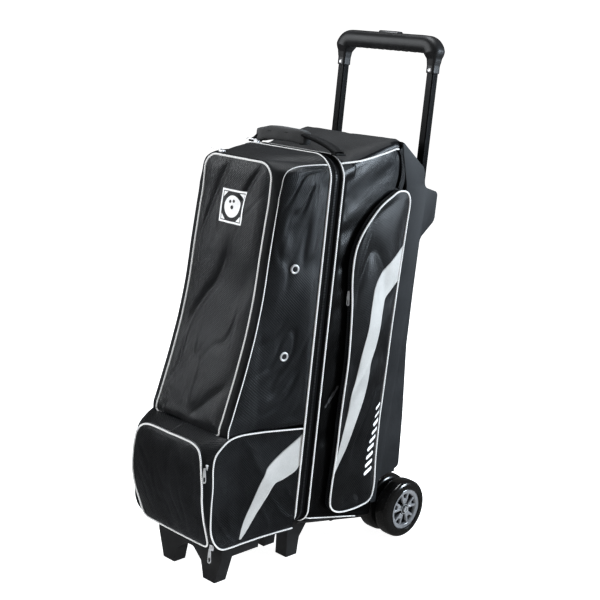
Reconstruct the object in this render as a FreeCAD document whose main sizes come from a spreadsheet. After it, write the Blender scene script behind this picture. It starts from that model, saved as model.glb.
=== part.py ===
import FreeCAD, Part
import math
import os
import Sketcher

# Three-ball roller bag.  Millimetres, +Z up, +X across the bag, -Y is the front.
# The origin is on the floor, in the middle of the bag's own box.
# Two placements are used: LEVEL pieces stand on the floor, LEANING pieces (the ball
# compartment, the back panel and the telescopic handle) tip back by one small angle.

SIZES = [
    # the lean
    ("lean_angle", 4), ("lean_shift", 4),
    # ball compartment, in the leaning frame
    ("half_width", 134), ("shell_wall", 4), ("shell_front", -50), ("shell_back", 150),
    ("shell_bottom_front", 89), ("shell_bottom_back", 64),
    ("shell_top_front", 826), ("shell_top_peak", 860), ("shell_peak_depth", 98),
    ("shell_top_back", 832), ("shell_round", 12),
    ("cradle_half", 129), ("cradle_front", -49), ("cradle_back", 145),
    ("cradle_base", 96), ("cradle_floor", 4), ("cradle_tall", 62), ("trough_low", 46),
    ("trough_top", 98), ("ball_pitch", 232),
    # ring zipper between the compartment and the door
    ("ring_top", 831), ("ring_bottom", 91), ("ring_corner", 30), ("ring_band", 12),
    ("ring_front", -85.4), ("ring_split_front", -68), ("ring_split_back", -67),
    ("board_front", -81), ("board_back", -77),
    # back panel
    ("panel_inside", 134.3), ("panel_outside", 139), ("panel_recess", 136.4),
    ("plate_front", 152), ("plate_back", 156), ("plate_bottom", 100),
    ("wing_front", 137), ("wing_shoulder", 780), ("wing_top_front", 104),
    ("wing_top", 846), ("roof_front", 98), ("roof_top", 872), ("roof_thickness", 4),
    ("wing_roof_back", 187), ("wing_roof_low", 814), ("wing_back_high", 196),
    ("wing_back_top", 775), ("bump_back", 239.5), ("bump_top", 765), ("bump_low", 705),
    ("bump_end", 669), ("wing_back_mid", 197), ("wing_mid_top", 560), ("wing_mid_low", 440),
    ("wing_back_low", 219), ("wing_low", 170), ("wing_toe", 150), ("wing_knee", 285),
    ("wing_knee_back", 212), ("bracket_inside", 108), ("bracket_front", 178),
    ("socket_bottom", 158), ("socket_top", 196), ("socket_back", 210),
    # telescopic handle
    ("tube_x", 123.5), ("tube_y", 194.4), ("outer_half", 10.6), ("outer_bore", 8.7),
    ("inner_half", 8.6), ("inner_bore", 7.4), ("tube_bend", 0.28), ("outer_bottom", 172), ("outer_top", 772),
    ("inner_bottom", 640), ("inner_top", 1018), ("plug_bottom", 618), ("plug_half", 8.65),
    ("plug_spigot_top", 650), ("plug_bore", 3),
    ("grip_half", 148), ("grip_leg_out", 133.5), ("grip_leg_in", 113.5), ("grip_bottom", 1004),
    ("grip_flare_low", 1018), ("grip_flare_high", 1040), ("grip_under", 1043),
    ("grip_top", 1080), ("grip_round", 36), ("grip_inner_round", 22), ("grip_depth", 19),
    ("grip_hollow_half", 130), ("grip_hollow_low", 1050), ("grip_hollow_high", 1073),
    ("grip_hollow_depth", 11), ("leg_depth", 12), ("leg_top", 1026), ("grip_chamfer", 10), ("grip_hollow_round", 8), ("rod_bore", 4),
    ("rod_radius", 2.5), ("rod_bottom", 655),
    ("rivet_z", 1011), ("rivet_radius", 2.5), ("rivet_head", 4.5), ("rivet_proud", 1.2),
    ("button_half", 27), ("button_depth", 8), ("button_top", 1083), ("button_low", 1068),
    ("button_flange", 32), ("button_flange_top", 1072), ("button_gap", 0.5),
    ("bar_half", 126), ("bar_depth", 5), ("bar_low", 1062), ("spring_radius", 5),
    ("spring_bore", 4),
    # wheels, axle and rear base, level
    ("axle_y", 233), ("axle_z", 63.5), ("axle_radius", 4), ("axle_half", 169.5),
    ("wheel_radius", 63.5), ("wheel_width", 38), ("outer_wheel_x", 151.5),
    ("inner_wheel_x", 103), ("tyre_seat", 44), ("tyre_crown", 15), ("rim_half", 16),
    ("rim_lip", 37), ("hub_radius", 16), ("spoke_half", 8), ("window_count", 5),
    ("window_inner", 20), ("window_outer", 34), ("bearing_radius", 11),
    ("bearing_bore", 4), ("bearing_width", 7), ("bearing_fit", 0.05), ("spacer_radius", 6.5),
    ("nut_flats", 13), ("nut_height", 4), ("strut_in", 60), ("strut_out", 76),
    ("base_half", 126), ("base_front", -40), ("base_back", 158), ("base_top_front", 91.4),
    ("base_top_back", 52.4), ("base_under_front", 56), ("base_under_back", 36),
    ("foot_half", 16), ("side_foot_x", 67.5), ("foot_depth", 30), ("foot_flare", 24),
    # door: upper compartment, lower pocket, base
    ("door_front_half", 112), ("taper_depth", -170), ("taper_start", -62),
    ("door_split", 312), ("door_top_back", 832), ("door_top_front", 823),
    ("door_back_low", -76.2), ("door_back_split", -60.6), ("door_back_high", -24.2),
    ("cover_top_y", -141), ("cover_bend_y", -158), ("cover_bend_z", 589),
    ("cover_bottom_y", -250), ("cover_bend", 1700), ("cover_thick", 11), ("cover_gap", 0.6),
    ("cover_half", 94), ("cover_bay_half", 88), ("door_wall", 5), ("room_half", 105),
    ("lower_bottom", 86), ("lower_top_front", 302), ("lower_front_y", -284),
    ("lower_knee_z", 185), ("lower_toe_y", -260), ("lower_nose_y", -247),
    ("flap_thick", 11.5), ("flap_half", 101), ("flap_bay_half", 94), ("flap_bottom", 94),
    ("flap_top", 300), ("front_half", 98), ("front_base_front", -232), ("front_foot_back", -203),
    ("front_base_back", -134), ("front_base_under", 56), ("front_base_top", 85.6),
    ("front_foot_out", 79), ("front_foot_in", 45), ("front_arch", 12), ("front_waist", 96),
    ("vent_radius", 8), ("vent_bore", 5), ("vent_y_high", -106), ("vent_z_high", 627),
    ("vent_y_low", -116), ("vent_z_low", 455), ("vent_proud", 1),
    # side pockets, leaning
    ("pocket_front", 4), ("pocket_back", 134.5), ("pocket_bottom", 103),
    ("pocket_shoulder", 690), ("pocket_apex_y", 108), ("pocket_top", 776),
    ("pocket_depth", 10), ("pocket_wall", 3), ("pocket_round", 12), ("pocket_gap", 0.5),
    ("side_flap_thick", 8.5),
    # carry handle on top, leaning
    ("grab_y", -52), ("grab_half", 110), ("grab_low", 837), ("grab_high", 871),
    ("grab_web", 3), ("grab_wide", 16), ("grab_line", 862), ("wrap_thick", 18),
    ("wrap_left", -95.5), ("wrap_right", 33), ("wrap_low", 847), ("wrap_high", 873),
    ("anchor_outer", 122), ("anchor_high", 840), ("anchor_half", 8),
    # zipper sliders and pulls
    ("slider_long", 11), ("slider_wide", 9), ("slider_tall", 5), ("slider_tunnel", 1.6),
    ("slider_lift", 0.6),
    ("pull_long", 30), ("pull_wide", 6.5), ("pull_thick", 1.6), ("pull_gap", 0.6),
    ("pull_hole", 1.8), ("ring_slider_x", -96), ("cover_slider_x", -59),
    ("cover_slider_y", -131), ("cover_slider_z", 825), ("corner_x", 106),
    ("corner_high_z", 265), ("corner_high_y", -284.6), ("corner_low_z", 97),
    ("corner_low_y", -264.6), ("side_slider_x", 139.4), ("side_slider_z", 569),
    ("side_slider_y", -1.2),
]


class Size:
    """A length that knows its value and the expression that drives it."""

    def __init__(self, value, text):
        self.value = value
        self.text = text

    @staticmethod
    def of(thing):
        return thing if isinstance(thing, Size) else Size(thing, repr(thing))

    def __add__(self, other):
        other = Size.of(other)
        return Size(self.value + other.value, "(%s + %s)" % (self.text, other.text))

    def __sub__(self, other):
        other = Size.of(other)
        return Size(self.value - other.value, "(%s - %s)" % (self.text, other.text))

    def __mul__(self, other):
        other = Size.of(other)
        return Size(self.value * other.value, "(%s * %s)" % (self.text, other.text))

    def __truediv__(self, other):
        other = Size.of(other)
        return Size(self.value / other.value, "(%s / %s)" % (self.text, other.text))

    def __neg__(self):
        return Size(-self.value, "(-1 * %s)" % self.text)

    __radd__ = __add__
    __rmul__ = __mul__


doc = FreeCAD.newDocument("roller_bag")
sheet = doc.addObject("Spreadsheet::Sheet", "Sizes")


class Dimensions:
    """The sheet's aliases as attributes."""


d = Dimensions()
for row, (name, value) in enumerate(SIZES, start=1):
    sheet.set("A%d" % row, name)
    sheet.set("B%d" % row, str(value))
    sheet.setAlias("B%d" % row, name)
    setattr(d, name, Size(value, "Sizes.%s" % name))
doc.recompute()

NODES = []
LEVEL, LEANING = "level", "leaning"


# ---------------------------------------------------------------- building tools

def stand(piece, frame):
    """Places a piece in the level or the leaning frame."""
    if frame == LEANING:
        piece.Placement = FreeCAD.Placement(
            FreeCAD.Vector(0, d.lean_shift.value, 0),
            FreeCAD.Rotation(FreeCAD.Vector(1, 0, 0), -d.lean_angle.value))


def new_body(label, frame):
    body = doc.addObject("PartDesign::Body", label)
    body.Label = label
    stand(body, frame)
    NODES.append(body)
    return body


def unit(a, b):
    """Unit vector from a to b."""
    step = b.sub(a)
    return step.multiply(1 / step.Length)


def draw_circle(sketch, u, v, radius):
    centre = FreeCAD.Vector(u.value, v.value, 0)
    ring = sketch.addGeometry(Part.Circle(centre, FreeCAD.Vector(0, 0, 1), radius.value))
    bind(sketch, Sketcher.Constraint("DistanceX", -1, 1, ring, 3, u.value), u)
    bind(sketch, Sketcher.Constraint("DistanceY", -1, 1, ring, 3, v.value), v)
    bind(sketch, Sketcher.Constraint("Radius", ring, radius.value), radius)


def bind(sketch, constraint, size):
    index = sketch.addConstraint(constraint)
    sketch.setExpression("Constraints[%d]" % index, size.text)


def draw_outline(sketch, corners):
    """A closed outline.  A corner is (u, v), or (u, v, radius) where it is rounded."""
    points = [FreeCAD.Vector(c[0].value, c[1].value, 0) for c in corners]
    count = len(corners)
    leave, arrive, middle = [], [], []
    for i, corner in enumerate(corners):
        point = points[i]
        if len(corner) < 3:
            leave.append(point)
            arrive.append(point)
            middle.append(None)
            continue
        back = unit(point, points[i - 1])
        ahead = unit(point, points[(i + 1) % count])
        half = back.getAngle(ahead) / 2
        reach = corner[2].value / math.tan(half)
        arrive.append(point + back * reach)
        leave.append(point + ahead * reach)
        bisector = unit(FreeCAD.Vector(), back + ahead)
        centre = point + bisector * (corner[2].value / math.sin(half))
        middle.append((centre, centre - bisector * corner[2].value))
    lines = [sketch.addGeometry(Part.LineSegment(leave[i], arrive[(i + 1) % count]))
             for i in range(count)]
    for i, corner in enumerate(corners):
        before, after = lines[i - 1], lines[i]
        u, v = corner[0], corner[1]
        if middle[i] is None:
            sketch.addConstraint(Sketcher.Constraint("Coincident", before, 2, after, 1))
            bind(sketch, Sketcher.Constraint("DistanceX", -1, 1, after, 1, u.value), u)
            bind(sketch, Sketcher.Constraint("DistanceY", -1, 1, after, 1, v.value), v)
            continue
        bend = sketch.addGeometry(Part.Arc(arrive[i], middle[i][1], leave[i]))
        turn = (arrive[i] - points[i]).cross(leave[i] - points[i]).z
        first, last = (1, 2) if turn < 0 else (2, 1)
        sketch.addConstraint(Sketcher.Constraint("Tangent", before, 2, bend, first))
        sketch.addConstraint(Sketcher.Constraint("Tangent", bend, last, after, 1))
        bind(sketch, Sketcher.Constraint("Radius", bend, corner[2].value), corner[2])
        mark = sketch.addGeometry(Part.Point(points[i]), True)
        sketch.addConstraint(Sketcher.Constraint("PointOnObject", mark, 1, before))
        sketch.addConstraint(Sketcher.Constraint("PointOnObject", mark, 1, after))
        bind(sketch, Sketcher.Constraint("DistanceX", -1, 1, mark, 1, u.value), u)
        bind(sketch, Sketcher.Constraint("DistanceY", -1, 1, mark, 1, v.value), v)


def new_sketch(body, plane, offset, outlines):
    """A sketch on the body's own origin plane, moved along the plane's normal."""
    sketch = body.newObject("Sketcher::SketchObject", body.Label + "_sketch")
    base = [f for f in body.Origin.OriginFeatures if f.Role == plane][0]
    sketch.AttachmentSupport = [(base, "")]
    sketch.MapMode = "FlatFace"
    sketch.setExpression(".AttachmentOffset.Base.z", offset.text)
    for outline in outlines:
        if outline[0] == "circle":
            draw_circle(sketch, *outline[1:])
        else:
            draw_outline(sketch, outline)
    return sketch


def swept(body, kind, plane, low, high, outlines):
    """Pads or pockets outlines from low to high along the plane's axis."""
    low, high = Size.of(low), Size.of(high)
    if low.value > high.value:
        low, high = high, low
    offset = -high if plane == "XZ_Plane" else low
    sketch = new_sketch(body, plane, offset, outlines)
    before = body.Shape.Volume if kind == "Pocket" else 0
    feature = body.newObject("PartDesign::" + kind, body.Label + "_" + kind.lower())
    feature.Profile = sketch
    feature.setExpression("Length", (high - low).text)
    if kind == "Pocket":
        feature.Reversed = True
    doc.recompute()
    if kind == "Pocket" and body.Shape.Volume > before - 1e-3:
        raise RuntimeError("a pocket cut nothing in " + body.Label)


def pad(body, plane, low, high, *outlines):
    swept(body, "Pad", plane, low, high, outlines)


def pocket(body, plane, low, high, *outlines):
    swept(body, "Pocket", plane, low, high, outlines)


def box(u0, u1, v0, v1, radius=None):
    """A rectangular outline, rounded if a radius is given."""
    u0, u1, v0, v1 = Size.of(u0), Size.of(u1), Size.of(v0), Size.of(v1)
    corners = [(u0, v0), (u1, v0), (u1, v1), (u0, v1)]
    return [c + (radius,) for c in corners] if radius else corners


def mirrored(outline):
    """The same outline on the other side of the centre line, still anticlockwise."""
    return [(-c[0],) + tuple(c[1:]) for c in reversed(outline)]


def sides():
    """Right and left, with the sign of X."""
    return (("right", 1), ("left", -1))


# ---------------------------------------------------------------- ball compartment

def build_rear_shell():
    body = new_body("rear_shell", LEANING)
    outer = [(d.shell_front, d.shell_bottom_front), (d.shell_back, d.shell_bottom_back),
             (d.shell_back, d.shell_top_back),
             (d.shell_peak_depth, d.shell_top_peak, d.shell_round),
             (d.shell_front, d.shell_top_front)]
    pad(body, "YZ_Plane", -d.half_width, d.half_width, outer)
    wall, past = d.shell_wall, d.shell_front - 10
    inner = [(past, d.shell_bottom_front + wall + 1), (d.shell_back - wall, d.shell_bottom_back + wall),
             (d.shell_back - wall, d.shell_top_back - wall),
             (d.shell_peak_depth, d.shell_top_peak - wall * 1.5, d.shell_round),
             (past, d.shell_top_front - wall * 1.5)]
    inside = d.half_width - wall
    pocket(body, "YZ_Plane", -inside, inside, inner)


def build_cradles():
    """Foam blocks, one under each ball.  The slanted sides of a trough carry the ball."""
    for index, name in enumerate(("lower", "middle", "upper")):
        level = d.cradle_base + d.ball_pitch * index
        top = level + d.cradle_tall
        body = new_body("ball_cradle_" + name, LEANING)
        right = [(d.cradle_half, level), (d.cradle_half, top), (d.trough_top, top),
                 (d.trough_low, level + d.cradle_floor)]
        pad(body, "XZ_Plane", d.cradle_front, d.cradle_back, right + mirrored(right))


def ring_frame(label, low, high):
    """One half of the zipper ring: tape and teeth around the whole mouth."""
    body = new_body(label, LEANING)
    pad(body, "XZ_Plane", low, high,
        box(-d.half_width, d.half_width, d.ring_bottom, d.ring_top, d.ring_corner))
    inside = d.half_width - d.ring_band
    pocket(body, "XZ_Plane", low, high,
           box(-inside, inside, d.ring_bottom + d.ring_band, d.ring_top - d.ring_band,
               d.ring_corner - d.ring_band))


def build_back_panel():
    body = new_body("back_panel", LEANING)
    wing = [(d.roof_front, d.roof_top), (d.wing_top_front, d.wing_top),
            (d.wing_front, d.wing_shoulder), (d.wing_front, d.plate_bottom),
            (d.plate_back, d.plate_bottom), (d.plate_back, d.wing_toe),
            (d.wing_back_low, d.wing_low), (d.wing_knee_back, d.wing_knee, d.wing_knee),
            (d.wing_back_mid, d.wing_mid_low), (d.wing_back_mid, d.wing_mid_top),
            (d.wing_back_mid + 2, d.bump_end), (d.bump_back, d.bump_low),
            (d.bump_back, d.bump_top), (d.wing_back_high, d.wing_back_top),
            (d.wing_roof_back, d.wing_roof_low)]
    pad(body, "YZ_Plane", -d.panel_outside, d.panel_outside, wing)
    low, thick = d.plate_bottom - 5, d.roof_thickness
    shell_room = [(d.roof_front - 8, low), (d.plate_front, low),
                  (d.plate_front, d.roof_top - thick - 33), (d.roof_front, d.roof_top - thick - 1),
                  (d.roof_front - 8, d.roof_top - thick - 1)]
    pocket(body, "YZ_Plane", -d.panel_inside, d.panel_inside, shell_room)
    far = d.bump_back + 10
    recess = [(d.plate_back, low), (far, low), (far, d.roof_top + 10),
              (d.roof_front - 8, d.roof_top + 10), (d.roof_front - 8, d.roof_top + 3),
              (d.plate_back, d.roof_top - 33)]
    pocket(body, "YZ_Plane", -d.panel_recess, d.panel_recess, recess)
    for side, sign in sides():
        pad(body, "XY_Plane", d.socket_bottom, d.socket_top,
            box(d.bracket_inside * sign, d.panel_recess * sign, d.plate_back, d.socket_back))
        pocket(body, "XY_Plane", d.outer_bottom, d.socket_top,
               square(sign, d.outer_half))


def build_tube_brackets():
    """Moulded brackets that clamp the tubes and carry the bag when it lies on its back."""
    for side, sign in sides():
        body = new_body("tube_bracket_" + side, LEANING)
        outline = [(d.bracket_front, d.wing_back_top - 3), (d.bracket_front, d.bump_end),
                   (d.wing_back_mid + 2, d.bump_end), (d.bump_back - 2, d.bump_low),
                   (d.bump_back - 2, d.bump_top), (d.wing_back_high, d.wing_back_top - 3)]
        pad(body, "YZ_Plane", d.bracket_inside * sign, d.panel_recess * sign, outline)
        pocket(body, "XY_Plane", d.bump_end - 1, d.wing_back_top,
               square(sign, d.outer_half))


# ---------------------------------------------------------------- telescopic handle

def square(sign, half):
    """The rounded square round a tube's centre line."""
    x, y = d.tube_x * sign, d.tube_y
    return box(x - half, x + half, y - half, y + half, half * d.tube_bend)


def tube(label, sign, low, high, half, bore):
    """A square tube with rounded edges."""
    body = new_body(label, LEANING)
    pad(body, "XY_Plane", low, high, square(sign, half))
    pocket(body, "XY_Plane", low, high, square(sign, bore))
    return body


def rivet_holes(body, radius, low, high):
    for side, sign in sides():
        pocket(body, "XZ_Plane", low, high, ("circle", d.tube_x * sign, d.rivet_z, radius))


def build_tubes():
    for side, sign in sides():
        tube("outer_tube_" + side, sign, d.outer_bottom, d.outer_top, d.outer_half, d.outer_bore)
        inner = tube("inner_tube_" + side, sign, d.inner_bottom, d.inner_top,
                     d.inner_half, d.inner_bore)
        pocket(inner, "XZ_Plane", d.tube_y - d.grip_depth, d.tube_y + d.grip_depth,
               ("circle", d.tube_x * sign, d.rivet_z, d.rivet_radius))
        plug = new_body("tube_plug_" + side, LEANING)
        pad(plug, "XY_Plane", d.plug_bottom, d.inner_bottom, square(sign, d.plug_half))
        pad(plug, "XY_Plane", d.inner_bottom, d.plug_spigot_top, square(sign, d.inner_bore))
        pocket(plug, "XY_Plane", d.plug_bottom, d.plug_spigot_top,
               ("circle", d.tube_x * sign, d.tube_y, d.plug_bore))


def grip_outline():
    right = [(d.grip_leg_in, d.grip_bottom), (d.grip_leg_out, d.grip_bottom),
             (d.grip_leg_out, d.grip_flare_low), (d.grip_half, d.grip_flare_high),
             (d.grip_half, d.grip_top, d.grip_round)]
    inner = [(-d.grip_leg_in, d.grip_under, d.grip_inner_round),
             (d.grip_leg_in, d.grip_under, d.grip_inner_round)]
    return right + mirrored(right) + inner


def trim_grip(body, away):
    """Legs thinner than the bar, and a bar whose long edges are taken off."""
    face, leg = d.tube_y + d.grip_depth * away, d.tube_y + d.leg_depth * away
    beyond, edge = face + away, d.grip_chamfer
    legs = [(beyond, d.grip_bottom - 1), (leg, d.grip_bottom - 1), (leg, d.leg_top),
            (face, d.grip_under), (beyond, d.grip_under)]
    top = [(beyond, d.grip_top - edge - 1), (face, d.grip_top - edge), (face - edge * away, d.grip_top),
           (face - edge * away, d.grip_top + 1), (beyond, d.grip_top + 1)]
    low = [(beyond, d.grip_under - 1), (beyond, d.grip_under + edge), (face, d.grip_under + edge),
           (face - edge * (0.7 * away), d.grip_under), (face - edge * (0.7 * away), d.grip_under - 1)]
    for outline in (legs, top, low):
        pocket(body, "YZ_Plane", -d.grip_half - 1, d.grip_half + 1, outline)


def build_grip():
    halves = (("grip_front", d.tube_y - d.grip_depth, d.tube_y, d.tube_y - d.grip_hollow_depth, d.tube_y),
              ("grip_rear", d.tube_y, d.tube_y + d.grip_depth, d.tube_y, d.tube_y + d.grip_hollow_depth))
    for label, low, high, hollow_low, hollow_high in halves:
        body = new_body(label, LEANING)
        pad(body, "XZ_Plane", low, high, grip_outline())
        pocket(body, "XZ_Plane", hollow_low, hollow_high,
                   box(-d.grip_hollow_half, d.grip_hollow_half, d.grip_hollow_low,
                   d.grip_hollow_high, d.grip_hollow_round))
        slot = box(-d.button_half - d.button_gap, d.button_half + d.button_gap,
                   d.tube_y - d.button_depth - d.button_gap, d.tube_y + d.button_depth + d.button_gap)
        pocket(body, "XY_Plane", d.grip_hollow_high - 1, d.grip_top + 1, slot)
        for side, sign in sides():
            pocket(body, "XY_Plane", d.grip_bottom, d.inner_top, square(sign, d.inner_half))
            pocket(body, "XY_Plane", d.inner_top, d.grip_hollow_low + 1,
                   ("circle", d.tube_x * sign, d.tube_y, d.rod_bore))
        rivet_holes(body, d.rivet_radius, low, high)
        away = -1 if label == "grip_front" else 1
        trim_grip(body, away)


def build_rivets():
    """Two rivets per grip leg, one through each wall of the tube."""
    front, back = d.tube_y - d.leg_depth, d.tube_y + d.leg_depth
    spans = (("front_shank", front, d.tube_y - d.inner_bore, d.rivet_radius),
             ("front_head", front - d.rivet_proud, front, d.rivet_head),
             ("rear_shank", d.tube_y + d.inner_bore, back, d.rivet_radius),
             ("rear_head", back, back + d.rivet_proud, d.rivet_head))
    parts = []
    for side, sign in sides():
        for name, low, high, radius in spans:
            parts.append(rod("rivet_%s_%s" % (side, name), "y", (d.tube_x * sign, low, d.rivet_z),
                             high - low, radius))
    fused("grip_rivets", LEANING, parts)


# ---------------------------------------------------------------- Part primitives

TURNS = {"x": FreeCAD.Rotation(FreeCAD.Vector(0, 1, 0), 90),
         "y": FreeCAD.Rotation(FreeCAD.Vector(1, 0, 0), -90),
         "z": FreeCAD.Rotation()}


def at(piece, corner):
    for axis, size in zip("xyz", corner):
        piece.setExpression(".Placement.Base." + axis, Size.of(size).text)


def rod(name, axis, start, length, radius):
    """A cylinder from start along +X, +Y or +Z."""
    piece = doc.addObject("Part::Cylinder", name)
    piece.Placement.Rotation = TURNS[axis]
    piece.setExpression("Radius", Size.of(radius).text)
    piece.setExpression("Height", Size.of(length).text)
    at(piece, start)
    return piece


def block(name, low, high):
    """A box between two corners."""
    piece = doc.addObject("Part::Box", name)
    low, high = [Size.of(v) for v in low], [Size.of(v) for v in high]
    for prop, a, b in zip(("Length", "Width", "Height"), low, high):
        piece.setExpression(prop, (b - a).text)
    at(piece, low)
    return piece


def named(piece, label, frame):
    piece.Label = label
    stand(piece, frame)
    NODES.append(piece)
    return piece


def fused(label, frame, parts):
    group = doc.addObject("Part::MultiFuse", label)
    group.Shapes = parts
    return named(group, label, frame)


def cut(name, base, tool):
    piece = doc.addObject("Part::Cut", name)
    piece.Base, piece.Tool = base, tool
    return piece


def build_release():
    """The button on top of the grip, its crossbar and the rods inside the tubes."""
    body = new_body("release_button", LEANING)
    depth = (d.tube_y - d.button_depth, d.tube_y + d.button_depth)
    pad(body, "XZ_Plane", depth[0], depth[1],
        [(-d.button_flange, d.button_low), (d.button_flange, d.button_low),
         (d.button_flange, d.button_flange_top), (d.button_half, d.button_flange_top),
         (d.button_half, d.button_top, d.spring_bore), (-d.button_half, d.button_top, d.spring_bore),
         (-d.button_half, d.button_flange_top), (-d.button_flange, d.button_flange_top)])
    parts = [block("release_bar", (-d.bar_half, d.tube_y - d.bar_depth, d.bar_low),
                   (d.bar_half, d.tube_y + d.bar_depth, d.button_low))]
    for side, sign in sides():
        parts.append(rod("release_rod_" + side, "z", (d.tube_x * sign, d.tube_y, d.rod_bottom),
                         d.bar_low - d.rod_bottom, d.rod_radius))
    fused("release_rods", LEANING, parts)
    spring = new_body("button_spring", LEANING)
    pad(spring, "XY_Plane", d.grip_hollow_low, d.bar_low,
        ("circle", d.tube_y * 0, d.tube_y, d.spring_radius))
    pocket(spring, "XY_Plane", d.grip_hollow_low, d.bar_low,
           ("circle", d.tube_y * 0, d.tube_y, d.spring_bore))


# ---------------------------------------------------------------- wheels and rear base

def build_wheels():
    for side, sign in sides():
        for place_name, x in (("outer", d.outer_wheel_x * sign), ("inner", d.inner_wheel_x * sign)):
            build_wheel(side + "_" + place_name, x)


def turned(label, x, outline):
    """A ring turned about the axle from an outline of (offset along X, radius)."""
    body = new_body(label, LEVEL)
    sketch = new_sketch(body, "XY_Plane", d.axle_z * 0, [outline])
    feature = body.newObject("PartDesign::Revolution", label + "_turn")
    feature.Profile = sketch
    feature.ReferenceAxis = (sketch, ["H_Axis"])
    feature.Angle = 360
    body.setExpression(".Placement.Base.x", x.text)
    body.setExpression(".Placement.Base.y", d.axle_y.text)
    body.setExpression(".Placement.Base.z", d.axle_z.text)
    doc.recompute()
    return body


def build_wheel(place_name, x):
    half = d.wheel_width / 2
    turned("tyre_" + place_name, x,
           [(-half, d.tyre_seat), (half, d.tyre_seat),
            (half, d.wheel_radius, d.tyre_crown), (-half, d.wheel_radius, d.tyre_crown)])
    bore = d.bearing_radius + d.bearing_fit
    rim = turned("rim_" + place_name, x,
                 [(-d.rim_half, bore), (d.rim_half, bore), (d.rim_half, d.hub_radius),
                  (d.spoke_half, d.hub_radius), (d.spoke_half, d.rim_lip), (d.rim_half, d.rim_lip),
                  (d.rim_half, d.tyre_seat), (-d.rim_half, d.tyre_seat), (-d.rim_half, d.rim_lip),
                  (-d.spoke_half, d.rim_lip), (-d.spoke_half, d.hub_radius),
                  (-d.rim_half, d.hub_radius)])
    window = new_sketch(rim, "YZ_Plane", -d.spoke_half, [
        [(d.window_inner * -0.45, d.window_inner, d.spacer_radius / 3),
         (d.window_inner * 0.45, d.window_inner, d.spacer_radius / 3),
         (d.window_outer * 0.42, d.window_outer - 2, d.spacer_radius / 2),
         (d.window_outer * -0.42, d.window_outer - 2, d.spacer_radius / 2)]])
    opening = rim.newObject("PartDesign::Pocket", rim.Label + "_window")
    opening.Profile = window
    opening.setExpression("Length", (d.spoke_half * 2).text)
    opening.Reversed = True
    doc.recompute()
    pattern = rim.newObject("PartDesign::PolarPattern", rim.Label + "_windows")
    pattern.Originals = [opening]
    pattern.Axis = (window, ["N_Axis"])
    pattern.Angle = 360
    pattern.setExpression("Occurrences", d.window_count.text)
    rim.Tip = pattern
    doc.recompute()


def build_axle():
    named(rod("axle", "x", (-d.axle_half, d.axle_y, d.axle_z), d.axle_half * 2, d.axle_radius),
          "axle", LEVEL)
    rings, spacers, nuts = [], [], []
    for side, sign in sides():
        for name, x in (("outer", d.outer_wheel_x), ("inner", d.inner_wheel_x)):
            for end, low in (("a", x - d.rim_half), ("b", x + d.rim_half - d.bearing_width)):
                rings.append(sleeve("bearing_%s_%s_%s" % (side, name, end), sign, low,
                                    low + d.bearing_width, d.bearing_radius, d.bearing_bore))
        gaps = ((d.strut_out, d.inner_wheel_x - d.rim_half),
                (d.inner_wheel_x + d.rim_half, d.outer_wheel_x - d.rim_half))
        for number, (low, high) in enumerate(gaps):
            spacers.append(sleeve("spacer_%s_%d" % (side, number), sign, low, high,
                                  d.spacer_radius, d.axle_radius))
        nuts.append(nut(side, sign))
    fused("wheel_bearings", LEVEL, rings)
    fused("wheel_spacers", LEVEL, spacers)
    fused("axle_nuts", LEVEL, nuts)


def sleeve(name, sign, low, high, radius, bore):
    """A ring on the axle between two distances from the centre."""
    start = low if sign > 0 else -high
    corner = (start, d.axle_y, d.axle_z)
    return cut(name, rod(name + "_body", "x", corner, high - low, radius),
               rod(name + "_bore", "x", corner, high - low, bore))


def nut(side, sign):
    low = d.outer_wheel_x + d.rim_half
    start = low if sign > 0 else -(low + d.nut_height)
    hexagon = doc.addObject("Part::Prism", "nut_%s_body" % side)
    hexagon.Polygon = 6
    hexagon.Placement.Rotation = TURNS["x"]
    hexagon.setExpression("Circumradius", (d.nut_flats * (1 / math.sqrt(3))).text)
    hexagon.setExpression("Height", d.nut_height.text)
    at(hexagon, (start, d.axle_y, d.axle_z))
    hole = rod("nut_%s_bore" % side, "x", (start, d.axle_y, d.axle_z), d.nut_height, d.axle_radius)
    return cut("nut_" + side, hexagon, hole)


def build_rear_base():
    body = new_body("rear_base", LEVEL)
    tray = [(d.base_front, d.base_under_front), (d.base_back, d.base_under_back),
            (d.base_back, d.base_top_back), (d.base_front, d.base_top_front)]
    pad(body, "YZ_Plane", -d.base_half, d.base_half, tray)
    front, back = d.base_front, d.base_front + d.foot_depth
    ground = d.base_front * 0
    foot = [(front, ground), (back, ground), (back + 4, d.foot_depth),
            (back + d.foot_flare, d.base_under_front - 2), (back + d.foot_flare, d.base_top_back + 10),
            (front, d.base_top_back + 10)]
    for x in (-d.side_foot_x, d.side_foot_x * 0, d.side_foot_x):
        pad(body, "YZ_Plane", x - d.foot_half, x + d.foot_half, foot)
    reach = d.hub_radius
    strut = [(d.base_back - 60, d.base_under_back + 4), (d.axle_y, d.axle_z - reach),
             (d.axle_y + reach, d.axle_z - reach, d.hub_radius * 0.9),
             (d.axle_y + reach, d.axle_z + reach, d.hub_radius * 0.9),
             (d.axle_y, d.axle_z + reach), (d.base_back + 4, d.base_top_back + 5),
             (d.base_back, d.base_top_back), (d.base_back - 60, d.base_top_back)]
    for side, sign in sides():
        pad(body, "YZ_Plane", d.strut_in * sign, d.strut_out * sign, strut)
    pocket(body, "YZ_Plane", -d.strut_out, d.strut_out,
           ("circle", d.axle_y, d.axle_z, d.axle_radius))


# ---------------------------------------------------------------- door

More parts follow.
